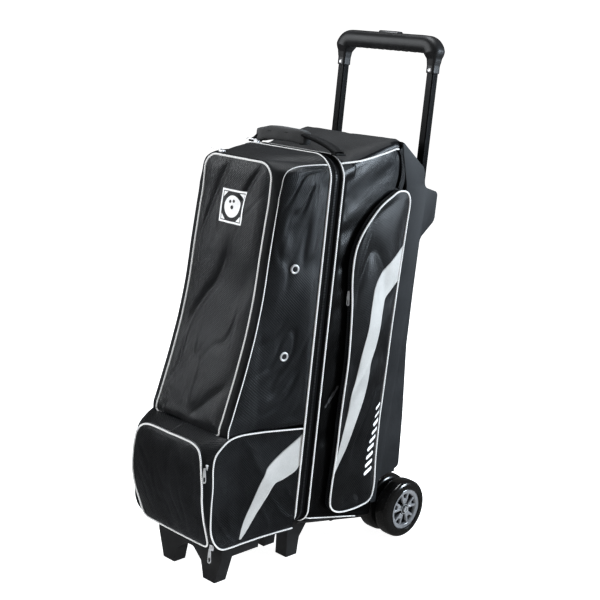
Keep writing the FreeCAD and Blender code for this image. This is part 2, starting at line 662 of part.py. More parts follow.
def taper(body, front_half, low_z, high_z):
    """Cuts both sides of a door piece in towards its front."""
    far = d.cover_bottom_y - 80
    out = d.half_width + 10
    wedge = [(d.half_width, d.taper_start), (front_half, d.taper_depth), (front_half, far),
             (out, far), (out, d.taper_start)]
    pocket(body, "XY_Plane", low_z, high_z, wedge)
    pocket(body, "XY_Plane", low_z, high_z, mirrored(wedge))


def cover_line(setback):
    """The bowed front line of the upper compartment, moved back by a distance."""
    return [(d.cover_bottom_y + setback, d.door_split),
            (d.cover_bend_y + setback, d.cover_bend_z, d.cover_bend),
            (d.cover_top_y + setback, d.door_top_front)]


def build_upper_shell():
    body = new_body("upper_shell", LEVEL)
    setback = d.cover_thick + d.cover_gap
    front = cover_line(setback)
    outer = [(d.door_back_split, d.door_split), (d.door_back_high, d.door_top_back)] + front[::-1]
    pad(body, "YZ_Plane", -d.half_width, d.half_width, outer)
    taper(body, d.door_front_half, d.door_split - 1, d.door_top_back + 1)
    wall, far = d.door_wall, d.cover_bottom_y - 30
    bay = [(far, d.door_split + wall), (d.door_back_split - wall, d.door_split + wall),
           (d.door_back_high - wall * 1.4, d.door_top_front - wall), (far, d.door_top_front - wall)]
    pocket(body, "YZ_Plane", -d.cover_bay_half, d.cover_bay_half, bay)
    behind = cover_line(setback + d.door_wall)
    room = [(d.door_back_split - wall, d.door_split + wall),
            (d.door_back_high - wall * 1.4, d.door_top_front - wall),
            (behind[2][0], d.door_top_front - wall)] + behind[1:2] + [(behind[0][0], d.door_split + wall)]
    pocket(body, "YZ_Plane", -d.room_half, d.room_half, room)
    pocket(body, "YZ_Plane", -d.half_width, d.half_width,
           ("circle", d.vent_y_high, d.vent_z_high, d.vent_radius),
           ("circle", d.vent_y_low, d.vent_z_low, d.vent_radius))


def build_upper_cover():
    body = new_body("upper_cover", LEVEL)
    lift = d.cover_gap
    outline = cover_line(d.cover_thick) + cover_line(d.cover_thick * 0)[::-1]
    outline = [(p[0], p[1] + lift) + tuple(p[2:]) for p in outline]
    pad(body, "YZ_Plane", -d.cover_half, d.cover_half, outline)


def build_lower_pocket():
    body = new_body("lower_pocket", LEVEL)
    outer = [(d.door_back_low, d.lower_bottom), (d.door_back_split, d.door_split - 1),
             (d.lower_nose_y, d.door_split - 1), (d.lower_front_y, d.lower_top_front),
             (d.lower_front_y, d.lower_knee_z), (d.lower_toe_y, d.lower_bottom)]
    pad(body, "YZ_Plane", -d.half_width, d.half_width, outer)
    taper(body, d.door_front_half, d.lower_bottom - 1, d.door_split)
    wall, far = d.door_wall, d.lower_front_y - 30
    bay = [(far, d.flap_bottom), (d.door_back_low - wall, d.flap_bottom),
           (d.door_back_split - wall, d.door_split - wall), (d.lower_nose_y, d.door_split - wall),
           (far, d.lower_top_front - wall)]
    pocket(body, "YZ_Plane", -d.flap_bay_half, d.flap_bay_half, bay)
    room = [(d.lower_toe_y + wall, d.flap_bottom)] + bay[1:4] + [
        (d.lower_front_y + wall, d.lower_top_front - wall), (d.lower_front_y + wall, d.lower_knee_z)]
    pocket(body, "YZ_Plane", -d.room_half, d.room_half, room)


def build_lower_flap():
    body = new_body("lower_flap", LEVEL)
    gap, thick = d.cover_gap, d.flap_thick
    outline = [(d.lower_front_y - gap, d.flap_top), (d.lower_front_y - gap - thick, d.flap_top, d.bearing_radius * 0.8),
               (d.lower_front_y - gap - thick, d.lower_knee_z, d.wheel_radius),
               (d.lower_toe_y - thick - 2, d.flap_bottom), (d.lower_toe_y - gap - 2, d.flap_bottom),
               (d.lower_front_y - gap, d.lower_knee_z, d.hub_radius)]
    pad(body, "YZ_Plane", -d.flap_half, d.flap_half, outline)


def build_door_board():
    inside = d.half_width - d.ring_band
    body = new_body("door_board", LEANING)
    pad(body, "XZ_Plane", d.board_front, d.board_back,
        box(-inside, inside, d.ring_bottom + d.ring_band, d.ring_top - d.ring_band,
            d.ring_corner - d.ring_band))


def build_front_base():
    body = new_body("front_base", LEVEL)
    ground = d.base_front * 0
    half, waist, under, top = d.front_half, d.front_waist, d.front_base_under, d.front_base_top
    left = [(-d.front_foot_out, ground), (-d.front_foot_in, ground),
            (-d.front_foot_in + 8, under * 0.62), (-d.front_arch, under, d.front_arch)]
    front = left + mirrored(left) + [(waist, under), (half, top), (-half, top), (-waist, under)]
    pad(body, "XZ_Plane", d.front_base_front, d.front_foot_back, front)
    pad(body, "XZ_Plane", d.front_foot_back, d.front_base_back,
        [(-waist, under), (waist, under), (half, top), (-half, top)])


def build_vents():
    rings = []
    for side, sign in sides():
        for name, y, z in (("high", d.vent_y_high, d.vent_z_high), ("low", d.vent_y_low, d.vent_z_low)):
            reach = d.door_front_half + (y - d.taper_depth) * (22 / 108.0) + d.vent_proud
            start = d.room_half if sign > 0 else -reach
            corner = (start, y, z)
            length = reach - d.room_half
            label = "vent_%s_%s" % (side, name)
            rings.append(cut(label, rod(label + "_body", "x", corner, length, d.vent_radius),
                             rod(label + "_bore", "x", corner, length, d.vent_bore)))
    fused("vent_eyelets", LEVEL, rings)


# ---------------------------------------------------------------- side pockets

def pocket_outline(inset):
    front, back = d.pocket_front + inset, d.pocket_back - inset
    low, high, bend = d.pocket_bottom + inset, d.pocket_top - inset, d.pocket_round
    return [(front, low, bend), (back, low, bend), (back, high, bend),
            (d.pocket_apex_y, high, bend), (front, d.pocket_shoulder, d.wheel_radius)]


def build_side_pockets():
    for side, sign in sides():
        inner, wall, base = d.half_width + 0.3, d.pocket_wall, Size.of(0)
        body = new_body("side_pocket_" + side, LEANING)
        outer_face = d.half_width + d.pocket_depth
        pad(body, "YZ_Plane", inner * sign, outer_face * sign, pocket_outline(base))
        pocket(body, "YZ_Plane", (inner + 1) * sign, outer_face * sign, pocket_outline(wall))
        flap = new_body("side_flap_" + side, LEANING)
        start = outer_face + d.pocket_gap
        pad(flap, "YZ_Plane", start * sign, (start + d.side_flap_thick) * sign, pocket_outline(base))


# ---------------------------------------------------------------- carry handle

def build_grab_handle():
    web = new_body("grab_webbing", LEANING)
    half, low, top, rise = d.grab_half, d.grab_low, d.grab_line, d.grab_web * 2
    pad(web, "XZ_Plane", d.grab_y - d.grab_wide / 2, d.grab_y + d.grab_wide / 2,
        [(-half, low), (-half, low + rise), (-half + rise * 2, top), (d.wrap_right + 3, top),
         (half, low + rise), (half, low), (half - 4, low), (half - 4, low + d.grab_web),
         (d.wrap_right + 2, top - d.grab_web), (-half + rise * 2 + 2, top - d.grab_web),
         (-half + 4, low + rise - 1), (-half + 4, low)])
    wrap = new_body("grab_wrap", LEANING)
    pad(wrap, "XZ_Plane", d.grab_y - d.wrap_thick / 2, d.grab_y + d.wrap_thick / 2,
        box(d.wrap_left, d.wrap_right, d.wrap_low, d.wrap_high, d.grab_wide / 2))
    pocket(wrap, "XZ_Plane", d.grab_y - d.grab_wide / 2, d.grab_y + d.grab_wide / 2,
           box(d.wrap_left - 1, d.wrap_right + 1, top - d.grab_web - 0.05, top + 0.05))
    tabs = []
    for side, sign in sides():
        near, far = d.grab_half + 0.6, d.anchor_outer
        low_x, high_x = (near, far) if sign > 0 else (-far, -near)
        tabs.append(block("anchor_" + side, (low_x, d.grab_y - d.anchor_half, d.ring_top),
                          (high_x, d.grab_y + d.anchor_half, d.anchor_high)))
    fused("grab_anchors", LEANING, tabs)


# ---------------------------------------------------------------- sliders and pulls

def build_slider(name, frame, centre, along, face):
    """A slider: its long side on one axis, its tunnel for the teeth in its back face."""
    low, high, tunnel_low, tunnel_high = [], [], [], []
    for i, axis in enumerate("xyz"):
        if axis == face[0]:
            spans = (d.slider_tall * face[1], d.slider_tunnel * face[1])
            ends = [sorted((centre[i], centre[i] + span), key=lambda end: end.value)
                    for span in spans]
        else:
            half = (d.slider_long if axis == along else d.slider_wide) / 2
            room = half if axis == along else half - d.slider_tunnel
            ends = [(centre[i] - half, centre[i] + half), (centre[i] - room, centre[i] + room)]
        low.append(ends[0][0])
        high.append(ends[0][1])
        tunnel_low.append(ends[1][0])
        tunnel_high.append(ends[1][1])
    solid = block("slider_%s_block" % name, low, high)
    tunnel = block("slider_%s_tunnel" % name, tunnel_low, tunnel_high)
    named(cut("slider_" + name, solid, tunnel), "slider_" + name, frame)


def build_pull(name, frame, centre, along, toward, face):
    """A pull that lies flat past the slider's face and reaches one way."""
    low, high, eye = [], [], []
    for i, axis in enumerate("xyz"):
        if axis == face[0]:
            near = centre[i] + (d.slider_tall + d.pull_gap) * face[1]
            far = near + d.pull_thick * face[1]
            low.append(near if face[1] > 0 else far)
            high.append(far if face[1] > 0 else near)
            eye.append(low[-1])
        elif axis == along:
            tip = centre[i] + d.pull_long * toward
            low.append(centre[i] if toward > 0 else tip)
            high.append(tip if toward > 0 else centre[i])
            eye.append(tip - d.pull_wide * (toward * 0.6))
        else:
            low.append(centre[i] - d.pull_wide / 2)
            high.append(centre[i] + d.pull_wide / 2)
            eye.append(centre[i])
    plate = block("pull_%s_plate" % name, low, high)
    hole = rod("pull_%s_hole" % name, face[0], eye, d.pull_thick, d.pull_hole)
    named(cut("pull_" + name, plate, hole), "pull_" + name, frame)


def build_sliders():
    lift, face_up, face_out = d.slider_lift, ("z", 1), ("y", -1)
    ring_mid = (d.ring_split_front + d.ring_split_back) / 2
    fittings = [("ring", LEANING, (d.ring_slider_x, ring_mid, d.ring_top + lift), "x", -1, face_up),
                ("cover", LEVEL, (d.cover_slider_x, d.cover_slider_y, d.cover_slider_z + lift),
                 "x", -1, face_up),
                ("corner_high", LEVEL, (d.corner_x, d.corner_high_y, d.corner_high_z), "z", -1, face_out),
                ("corner_low", LEVEL, (d.corner_x, d.corner_low_y, d.corner_low_z), "z", -1, face_out)]
    for side, sign in sides():
        centre = (d.side_slider_x * sign, d.side_slider_y + d.pocket_front, d.side_slider_z)
        fittings.append(("pocket_" + side, LEANING, centre, "z", -1, face_out))
    for name, frame, centre, along, toward, face in fittings:
        build_slider(name, frame, centre, along, face)
        build_pull(name, frame, centre, along, toward, face)


# ---------------------------------------------------------------- make, check, write

build_rear_shell()
build_cradles()
ring_frame("rear_zip_ring", d.ring_split_back, d.shell_front)
build_back_panel()
build_tube_brackets()
build_tubes()
build_grip()
build_rivets()
build_release()
build_wheels()
build_axle()
build_rear_base()
ring_frame("front_zip_ring", d.ring_front, d.ring_split_front)
build_door_board()
build_upper_shell()
build_upper_cover()
build_lower_pocket()
build_lower_flap()
build_front_base()
build_vents()
build_side_pockets()
build_grab_handle()
build_sliders()
doc.recompute()

for item in doc.Objects:
    if "Invalid" in item.State or "Error" in item.State:
        raise RuntimeError("%s is %s" % (item.Label, item.State))
for node in NODES:
    if node.Shape.isNull() or not node.Shape.isValid() or node.Shape.Volume <= 0:
        raise RuntimeError("bad shape in " + node.Label)

os.makedirs("parts", exist_ok=True)
whole = FreeCAD.BoundBox()
for node in NODES:
    node.Shape.exportStep("parts/%s.step" % node.Label)
    whole.add(node.Shape.BoundBox)
print(len(NODES), "nodes, box", whole)
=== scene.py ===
import math

import bmesh
import bpy
import numpy as np
from mathutils import Matrix, Vector, noise
from mathutils.bvhtree import BVHTree


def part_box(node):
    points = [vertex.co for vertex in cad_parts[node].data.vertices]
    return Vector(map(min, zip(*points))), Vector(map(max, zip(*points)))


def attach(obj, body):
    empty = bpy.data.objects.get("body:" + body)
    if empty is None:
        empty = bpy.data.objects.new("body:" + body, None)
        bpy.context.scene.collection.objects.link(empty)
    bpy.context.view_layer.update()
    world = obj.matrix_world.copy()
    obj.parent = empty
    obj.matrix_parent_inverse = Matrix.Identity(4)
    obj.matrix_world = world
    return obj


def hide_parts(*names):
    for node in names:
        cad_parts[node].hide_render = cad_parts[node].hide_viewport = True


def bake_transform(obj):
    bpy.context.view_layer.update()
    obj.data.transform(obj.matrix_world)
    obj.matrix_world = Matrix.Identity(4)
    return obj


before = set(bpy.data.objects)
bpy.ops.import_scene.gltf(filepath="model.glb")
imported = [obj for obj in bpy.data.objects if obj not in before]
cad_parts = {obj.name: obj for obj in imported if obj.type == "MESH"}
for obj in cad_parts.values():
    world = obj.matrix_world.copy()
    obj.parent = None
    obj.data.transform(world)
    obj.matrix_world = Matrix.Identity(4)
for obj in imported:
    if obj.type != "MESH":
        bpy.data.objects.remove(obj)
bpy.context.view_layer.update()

# A three-ball roller bag.  Lengths are millimetres in the tables below and metres in the meshes.
# Leaning shapes (ball compartment, zipper ring, back panel, handle) tip back by four degrees.

MM = 0.001
LEAN = math.radians(4)
COS, SIN, SHIFT = math.cos(LEAN), math.sin(LEAN), 4.0
TURN = 2 * math.pi
SIDES = (("right", 1), ("left", -1))


def level(points):
    return np.asarray(points, float) * MM


def lean(points):
    p = np.asarray(points, float)
    y = p[..., 1] * COS + p[..., 2] * SIN + SHIFT
    z = -p[..., 1] * SIN + p[..., 2] * COS
    return np.stack([p[..., 0], y, z], -1) * MM


def unlean(co):
    x, y, z = np.array(co) / MM
    y -= SHIFT
    return x, y * COS - z * SIN, y * SIN + z * COS


def unit(vectors):
    """Each vector at length one."""
    return vectors / np.maximum(np.linalg.norm(vectors, axis=-1, keepdims=True), 1e-12)


# ---------------------------------------------------------------- curves

def smooth(points, closed=False, steps=10):
    """A Catmull-Rom line through the points."""
    p = np.asarray(points, float)
    count = len(p)
    pick = (lambda i: p[i % count]) if closed else (lambda i: p[min(max(i, 0), count - 1)])
    t = np.linspace(0, 1, steps, endpoint=False)[:, None]
    out = []
    for i in range(count if closed else count - 1):
        a, b, c, d = pick(i - 1), pick(i), pick(i + 1), pick(i + 2)
        out.append(0.5 * (2 * b + (c - a) * t + (2 * a - 5 * b + 4 * c - d) * t ** 2
                          + (3 * b - a - 3 * c + d) * t ** 3))
    out = np.concatenate(out)
    return out if closed else np.vstack([out, p[-1]])


def run(line):
    """The distance covered along a line at each of its points."""
    return np.concatenate([[0], np.cumsum(np.linalg.norm(np.diff(line, axis=0), axis=1))])


def along(points, count, closed=False):
    """The line cut into evenly spaced points."""
    p = np.asarray(points, float)
    if closed:
        p = np.vstack([p, p[:1]])
    s = run(p)
    want = np.linspace(0, s[-1], count, endpoint=not closed)
    return np.stack([np.interp(want, s, p[:, k]) for k in range(p.shape[1])], 1)


def joined(parts):
    """Lines end to end, without the repeated joints."""
    return np.vstack([parts[0]] + [q[1:] for q in parts[1:]])


def matched(parts, counts):
    """Lines end to end, each cut into its own number of points."""
    return joined([along(p, c) for p, c in zip(parts, counts)])


def arc(cx, cz, radius, start, end, count):
    a = np.radians(np.linspace(start, end, count))
    return np.stack([cx + radius * np.cos(a), cz + radius * np.sin(a)], 1)


def mirror(points):
    """The same line on the other side, run backwards."""
    return np.asarray(points)[::-1] * np.array([-1] + [1] * (np.shape(points)[-1] - 1))


def both(points):
    """The same points on the right and on the left."""
    return [points * np.array([sign, 1, 1]) for _, sign in SIDES]


def superellipse(a, b, power, count):
    t = np.linspace(0, TURN, count, endpoint=False)
    c, s = np.cos(t), np.sin(t)
    return np.stack([a * np.sign(c) * np.abs(c) ** (2 / power),
                     b * np.sign(s) * np.abs(s) ** (2 / power)], 1)


def frame_loop(half, low, high, r_low, r_high, flat=20, bend=8, side=60):
    """A closed rounded rectangle in (x, z), from the middle of the bottom, anticlockwise."""
    right = joined([
        np.linspace((0, low), (half - r_low, low), flat),
        arc(half - r_low, low + r_low, r_low, -90, 0, bend),
        np.linspace((half, low + r_low), (half, high - r_high), side),
        arc(half - r_high, high - r_high, r_high, 0, 90, bend),
        np.linspace((half - r_high, high), (0, high), flat)])
    return joined([right, mirror(right)])[:-1]


def right_of(line, closed=False):
    """Unit normals of a flat line, on the right of the way it runs."""
    step = np.roll(line, -1, 0) - np.roll(line, 1, 0) if closed else np.gradient(line, axis=0)
    return unit(np.stack([step[:, 1], -step[:, 0]], 1))


def at_depth(loop, y):
    """An (x, z) line set at one depth."""
    return np.column_stack([loop[:, 0], np.full(len(loop), y), loop[:, 1]])


def ease(x):
    x = np.clip(x, 0, 1)
    return x * x * (3 - 2 * x)


# ---------------------------------------------------------------- meshes

def add(name, data, material, soft=True):
    """A mesh made an object, smooth or flat, or as its faces already are."""
    for m in (material if isinstance(material, (list, tuple)) else [material]):
        data.materials.append(m)
    if soft is not None:
        data.polygons.foreach_set("use_smooth", [soft] * len(data.polygons))
    obj = bpy.data.objects.new(name, data)
    bpy.context.scene.collection.objects.link(obj)
    return obj


def from_bmesh(name, bm, material, soft=True):
    data = bpy.data.meshes.new(name)
    bm.to_mesh(data)
    bm.free()
    return add(name, data, material, soft)


def new_mesh(name, verts, faces, material, uvs=None, soft=True):
    data = bpy.data.meshes.new(name)
    data.from_pydata([tuple(v) for v in verts], [], [tuple(int(i) for i in f) for f in faces])
    if uvs is not None:
        layer = data.uv_layers.new(name="UVMap")
        layer.data.foreach_set("uv", np.array([uvs[i] for f in faces for i in f], np.float32).ravel())
    obj = add(name, data, material, soft)
    data.update()
    return obj


def place(obj, body, slot, *nodes):
    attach(obj, body)
    if nodes:
        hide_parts(*nodes)
    return obj


def thicken(obj, thick, offset=-1):
    m = obj.modifiers.new("thick", "SOLIDIFY")
    m.thickness = thick * MM
    m.offset = offset


def grid_faces(rows, cols, wrap_rows=False, wrap_cols=False):
    faces = []
    for i in range(rows if wrap_rows else rows - 1):
        a, b = i * cols, ((i + 1) % rows) * cols
        for j in range(cols if wrap_cols else cols - 1):
            k = (j + 1) % cols
            faces.append((a + j, a + k, b + k, b + j))
    return faces


def grid_normals(grid):
    return unit(np.cross(np.gradient(grid, axis=1), np.gradient(grid, axis=0)))


def lengths(grid, axis):
    step = np.linalg.norm(np.diff(grid, axis=axis), axis=2).mean(1 - axis)
    return np.concatenate([[0], np.cumsum(step)])


def grid_uv(grid):
    return np.stack(np.meshgrid(lengths(grid, 1), lengths(grid, 0)), -1)


def crossed(down, across):
    """Flat coordinates with the distance down the grid first."""
    return np.stack(np.broadcast_arrays(down[:, None], across[None]), -1)


def grid_mesh(name, grid, material, uv=None, rows=False, cols=False, flip=False, caps=False):
    """A mesh over a grid, closed along its rows or columns and capped at its ends if asked."""
    down, across = grid.shape[:2]
    faces = grid_faces(down, across, rows, cols)
    if caps:
        faces += [tuple(range(across))[::-1], tuple((down - 1) * across + k for k in range(across))]
    if flip:
        faces = [f[::-1] for f in faces]
    uv = grid_uv(grid) if uv is None else uv
    return new_mesh(name, grid.reshape(-1, 3), faces, material, uv.reshape(-1, 2))


def sheet(name, grid, material, thick=0.0, flip=False):
    obj = grid_mesh(name, grid, material, flip=flip)
    if thick:
        thicken(obj, thick)
    return obj


def coons(bottom, top, left, right):
    """The sheet between four edges; rows run from bottom to top."""
    u = np.linspace(0, 1, len(bottom))[None, :, None]
    v = np.linspace(0, 1, len(left))[:, None, None]
    return ((1 - v) * bottom[None] + v * top[None] + (1 - u) * left[:, None] + u * right[:, None]
            - (1 - u) * (1 - v) * bottom[0] - u * (1 - v) * bottom[-1]
            - (1 - u) * v * top[0] - u * v * top[-1])


def patch(outline, corners, across, up):
    """A sheet inside a closed outline.  Corners: bottom left, bottom right, top right, top left."""
    outline = np.asarray(outline)
    at = [int(np.argmin(np.linalg.norm(outline - np.asarray(c), axis=1))) for c in corners]
    outline = np.roll(outline, -at[0], axis=0)
    at = [(a - at[0]) % len(outline) for a in at] + [len(outline)]
    loop = np.vstack([outline, outline[:1]])
    bottom, right, top, left = [loop[at[i]:at[i + 1] + 1] for i in range(4)]
    return coons(along(bottom, across), along(top[::-1], across),
                 along(left[::-1], up), along(right, up))


def folds(uv, seed, angle, length, width):
    """Soft folds over a sheet, between about -1 and 1.  They run along the angle."""
    turn = math.radians(angle)
    s = uv[..., 0] * math.cos(turn) + uv[..., 1] * math.sin(turn)
    t = -uv[..., 0] * math.sin(turn) + uv[..., 1] * math.cos(turn)
    out = np.empty(s.shape)
    for i in np.ndindex(s.shape):
        a, b = s[i] / length, t[i] / width
        bend = 0.8 * noise.noise((a * 0.8, b * 0.35, seed + 5.1))
        broad = noise.noise((a * 0.8, b * 0.7 + bend, seed))
        line = noise.noise((a * 0.9, b * 0.9 + bend, seed + 9.7))
        where = noise.noise((a * 1.3, b * 0.8, seed + 21.3))
        fine = noise.noise((a * 2.6, b * 2.6 + bend, seed + 33.9))
        crease = math.exp(-(abs(line) / 0.11) ** 1.5) * min(1.0, max(0.0, 0.6 + 2.6 * where))
        small = math.exp(-(fine / 0.14) ** 2) * min(1.0, max(0.0, 0.2 - 2.4 * where))
        out[i] = 1.2 * broad - 0.85 * crease - 0.4 * small + 0.25
    return out


def cloth_shape(grid, puff, crease, seed, angle, length, width, rim=0.03, power=4):
    """The sheet swelled out along its normal and creased, with its edges held."""
    uv = grid_uv(grid)
    size = uv[-1, -1]
    dome = 1 - np.abs(2 * uv / size - 1) ** (power, power * 2)
    edge = np.minimum(uv, size - uv).min(-1)
    lift = puff * MM * dome.prod(-1) + crease * MM * ease(edge / rim) * folds(uv, seed, angle, length, width)
    return grid + grid_normals(grid) * lift[..., None]


def pillow(name, front, inward, depth, material, back_material):
    """A padded panel: the crowned face, a side wall all round and a flat back."""
    rows, cols = front.shape[:2]
    count = rows * cols
    back = coons(front[0], front[-1], front[:, 0], front[:, -1]) + np.asarray(inward) * depth * MM
    uv = grid_uv(front).reshape(-1, 2)
    faces = grid_faces(rows, cols)
    index = np.arange(count).reshape(rows, cols)
    ring = [int(i) for i in np.concatenate([index[0], index[1:, -1], index[-1, -2::-1], index[-2:0:-1, 0]])]
    wall = [(ring[k], ring[k - 1], ring[k - 1] + count, ring[k] + count) for k in range(len(ring))]
    behind = [tuple(i + count for i in f[::-1]) for f in faces]
    obj = new_mesh(name, np.vstack([front.reshape(-1, 3), back.reshape(-1, 3)]), faces + wall + behind,
                   [material, back_material], np.vstack([uv, uv + 0.01]))
    obj.data.polygons.foreach_set("material_index",
                                  [0] * (len(faces) + len(wall)) + [1] * len(behind))
    return obj


def transported(path, closed):
    """A pair of side directions at each point of a path that never twist."""
    tangent = unit(np.roll(path, -1, 0) - np.roll(path, 1, 0) if closed else np.gradient(path, axis=0))
    side = np.cross(tangent[0], (0.0, 0.0, 1.0) if abs(tangent[0][2]) < 0.9 else (1.0, 0.0, 0.0))
    sides = []
    for t in tangent:
        side = unit(side - t * side.dot(t))
        sides.append(side)
    sides = np.array(sides)
    ups = np.cross(tangent, sides)
    if closed:
        twist = math.atan2(sides[-1].dot(ups[0]), sides[-1].dot(sides[0]))
        turn = -twist * np.linspace(0, 1, len(path))
        c, s = np.cos(turn)[:, None], np.sin(turn)[:, None]
        sides, ups = sides * c + ups * s, ups * c - sides * s
    return sides, ups


def tube(name, path, radius, material, closed=False, sides=8):
    path = np.asarray(path)
    a, b = transported(path, closed)
    ang = np.linspace(0, TURN, sides, endpoint=False)
    grid = (path[:, None] + radius * MM * (a[:, None] * np.cos(ang)[None, :, None]
                                           + b[:, None] * np.sin(ang)[None, :, None]))
    return grid_mesh(name, grid, material, crossed(run(path), ang * radius * MM),
                     closed, True, caps=not closed)


def merged(name, parts, body, slot, *nodes):
    """Several objects made one piece."""
    bm = bmesh.new()
    bm.loops.layers.uv.new("UVMap")
    materials = []
    for o in parts:
        o.data.transform(o.matrix_world)
        materials += [m for m in o.data.materials if m not in materials]
        index = [materials.index(m) for m in o.data.materials]
        start = len(bm.faces)
        bm.from_mesh(o.data)
        bm.faces.ensure_lookup_table()
        for f in bm.faces[start:]:
            f.material_index = index[min(f.material_index, len(index) - 1)]
    obj = from_bmesh(name, bm, materials, None)
    for o in parts:
        bpy.data.objects.remove(o)
    return place(obj, body, slot, *nodes) if body else obj


def lathe(name, profile, material, x, y, z, segments=96):
    """A closed profile of (x offset, radius) turned about an axis along X."""
    p = np.asarray(profile, float)
    ang = np.linspace(0, TURN, segments, endpoint=False)
    px = np.broadcast_to(p[None, :, 0] + x, (segments, len(p)))
    py = y + p[None, :, 1] * np.cos(ang)[:, None]
    pz = z + p[None, :, 1] * np.sin(ang)[:, None]
    return grid_mesh(name, level(np.stack([px, py, pz], -1)), material,
                     crossed(ang * 0.06, run(p) * MM), True, True)


def block(name, centre, size, material, bevel, turn=None, segments=3):
    """A small moulded part: a box with rolled edges."""
    bm = bmesh.new()
    bmesh.ops.create_cube(bm, size=1)
    for v in bm.verts:
        v.co = Vector([v.co[k] * size[k] for k in range(3)]) * MM
    bmesh.ops.bevel(bm, geom=list(bm.edges) + list(bm.verts), offset=bevel * MM,
                    segments=segments, profile=0.5, affect="EDGES")
    if turn is not None:
        bmesh.ops.transform(bm, matrix=turn.to_4x4(), verts=bm.verts)
    bmesh.ops.translate(bm, vec=Vector(centre), verts=bm.verts)
    return from_bmesh(name, bm, material)


def is_panel_corner(edge):
    """A short edge across the panel, at its left or right end, where two faces turn."""
    return (0.002 < edge.calc_length() < 0.012 and len(edge.link_faces) == 2
            and all(abs(v.co.x) > 0.134 for v in edge.verts)
            and edge.calc_face_angle() > math.radians(18)
            and abs((edge.verts[0].co - edge.verts[1].co).normalized().x) > 0.99)


def softened(node, body, slot, material, width, shape=None, corner=0.0):
    """A copy of a moulded CAD part with its edges rolled."""
    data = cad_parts[node].data.copy()
    bm = bmesh.new()
    bm.from_mesh(data)
    bmesh.ops.remove_doubles(bm, verts=bm.verts, dist=2e-6)
    bmesh.ops.dissolve_limit(bm, angle_limit=math.radians(0.6), verts=bm.verts, edges=bm.edges)
    if shape is not None:
        for v in bm.verts:
            v.co = shape(v.co)
    if corner:
        bmesh.ops.bevel(bm, geom=[e for e in bm.edges if is_panel_corner(e)], offset=corner * MM,
                        segments=6, profile=0.5, affect="EDGES", clamp_overlap=False)
    bm.to_mesh(data)
    bm.free()
    data.materials.clear()
    obj = add(node + "_moulding", data, material)
    m = obj.modifiers.new("edges", "BEVEL")
    m.width, m.segments, m.harden_normals = width * MM, 3, True
    m.limit_method, m.angle_limit = "ANGLE", math.radians(28)
    return place(obj, body, slot, node)


trees = {}


def surface_of(obj):
    """A tree for dropping shapes on to a piece."""
    if obj.name not in trees:
        trees[obj.name] = BVHTree.FromPolygons([v.co.copy() for v in obj.data.vertices],
                                               [list(f.vertices) for f in obj.data.polygons])
    return trees[obj.name]


def laid(name, points, piece, direction, material, lift=0.6, thick=0.0):
    """A cut piece of cloth or print dropped on to a piece along a direction, face outwards."""
    way, out = Vector(direction), []
    tree = surface_of(piece)
    for p in points.reshape(-1, 3):
        hit, normal, _, _ = tree.ray_cast(Vector(p) - way * 0.06, way)
        if hit is None:
            hit, normal, _, _ = tree.find_nearest(Vector(p))
        if normal.dot(way) > 0:
            normal = -normal
        out.append(hit + normal * lift * MM)
    grid = np.array(out).reshape(points.shape)
    inside_out = grid_normals(grid).mean(axis=(0, 1)).dot(np.array(direction, float)) > 0
    return sheet(name, grid, material, thick, flip=bool(inside_out))


# ---------------------------------------------------------------- materials

class Graph:
    """A short way to write one material's nodes.  An input is a value or another node's output."""

    def __init__(self, name):
        self.material = bpy.data.materials.new(name)
        self.material.use_nodes = True
        self.tree = self.material.node_tree
        self.shader = self.tree.nodes["Principled BSDF"]

    def feed(self, node, inputs):
        for key, value in inputs.items():
            socket = node.inputs[key]
            if isinstance(value, bpy.types.NodeSocket):
                self.tree.links.new(value, socket)
            else:
                socket.default_value = (*value, 1) if socket.type == "RGBA" else value

    def node(self, kind, inputs, **settings):
        n = self.tree.nodes.new("ShaderNode" + kind)
        for key, value in settings.items():
            setattr(n, key, value)
        self.feed(n, inputs)
        return n.outputs

    def coords(self, source, scale=(1, 1, 1), turn=0.0):
        raw = self.node("TexCoord", {})[source]
        return self.node("Mapping", {"Vector": raw, "Rotation": (0, 0, math.radians(turn)),
                                     "Scale": scale})["Vector"]

    def noise(self, vector, scale, detail=2.0, rough=0.5):
        return self.node("TexNoise", {"Vector": vector, "Scale": scale, "Detail": detail,
                                      "Roughness": rough})["Fac"]

    def wave(self, vector, pitch, direction="X"):
        """Bands at a pitch in metres."""
        return self.node("TexWave", {"Vector": vector, "Scale": 0.31416 / pitch},
                         wave_type="BANDS", bands_direction=direction)["Fac"]

    def math(self, operation, a, b):
        return self.node("Math", {0: a, 1: b}, operation=operation)[0]

    def scaled(self, x, by, plus):
        return self.math("ADD", self.math("MULTIPLY", x, by), plus)

    def fade(self, fac, start, end, a, b, most=1.0):
        """Colour a turning into b as fac goes from start to end; most is how far it gets."""
        ramp = self.tree.nodes.new("ShaderNodeValToRGB")
        for item, at, grey in zip(ramp.color_ramp.elements, (start, end), (0.0, most)):
            item.position, item.color = at, (grey, grey, grey, 1)
        self.feed(ramp, {"Fac": fac})
        return self.node("Mix", {"Factor": ramp.outputs["Color"], 6: a, 7: b}, data_type="RGBA")[2]

    def bump(self, height, strength, distance, under=None):
        inputs = {"Height": height, "Strength": strength, "Distance": distance}
        if under is not None:
            inputs["Normal"] = under
        return self.node("Bump", inputs)["Normal"]

    def set(self, **values):
        self.feed(self.shader, {key.replace("_", " "): value for key, value in values.items()})
        return self.material


def brighter(colour, times):
    return tuple(times * c for c in colour)


THREAD = 0.0011             # the pitch of the threads in every woven cloth


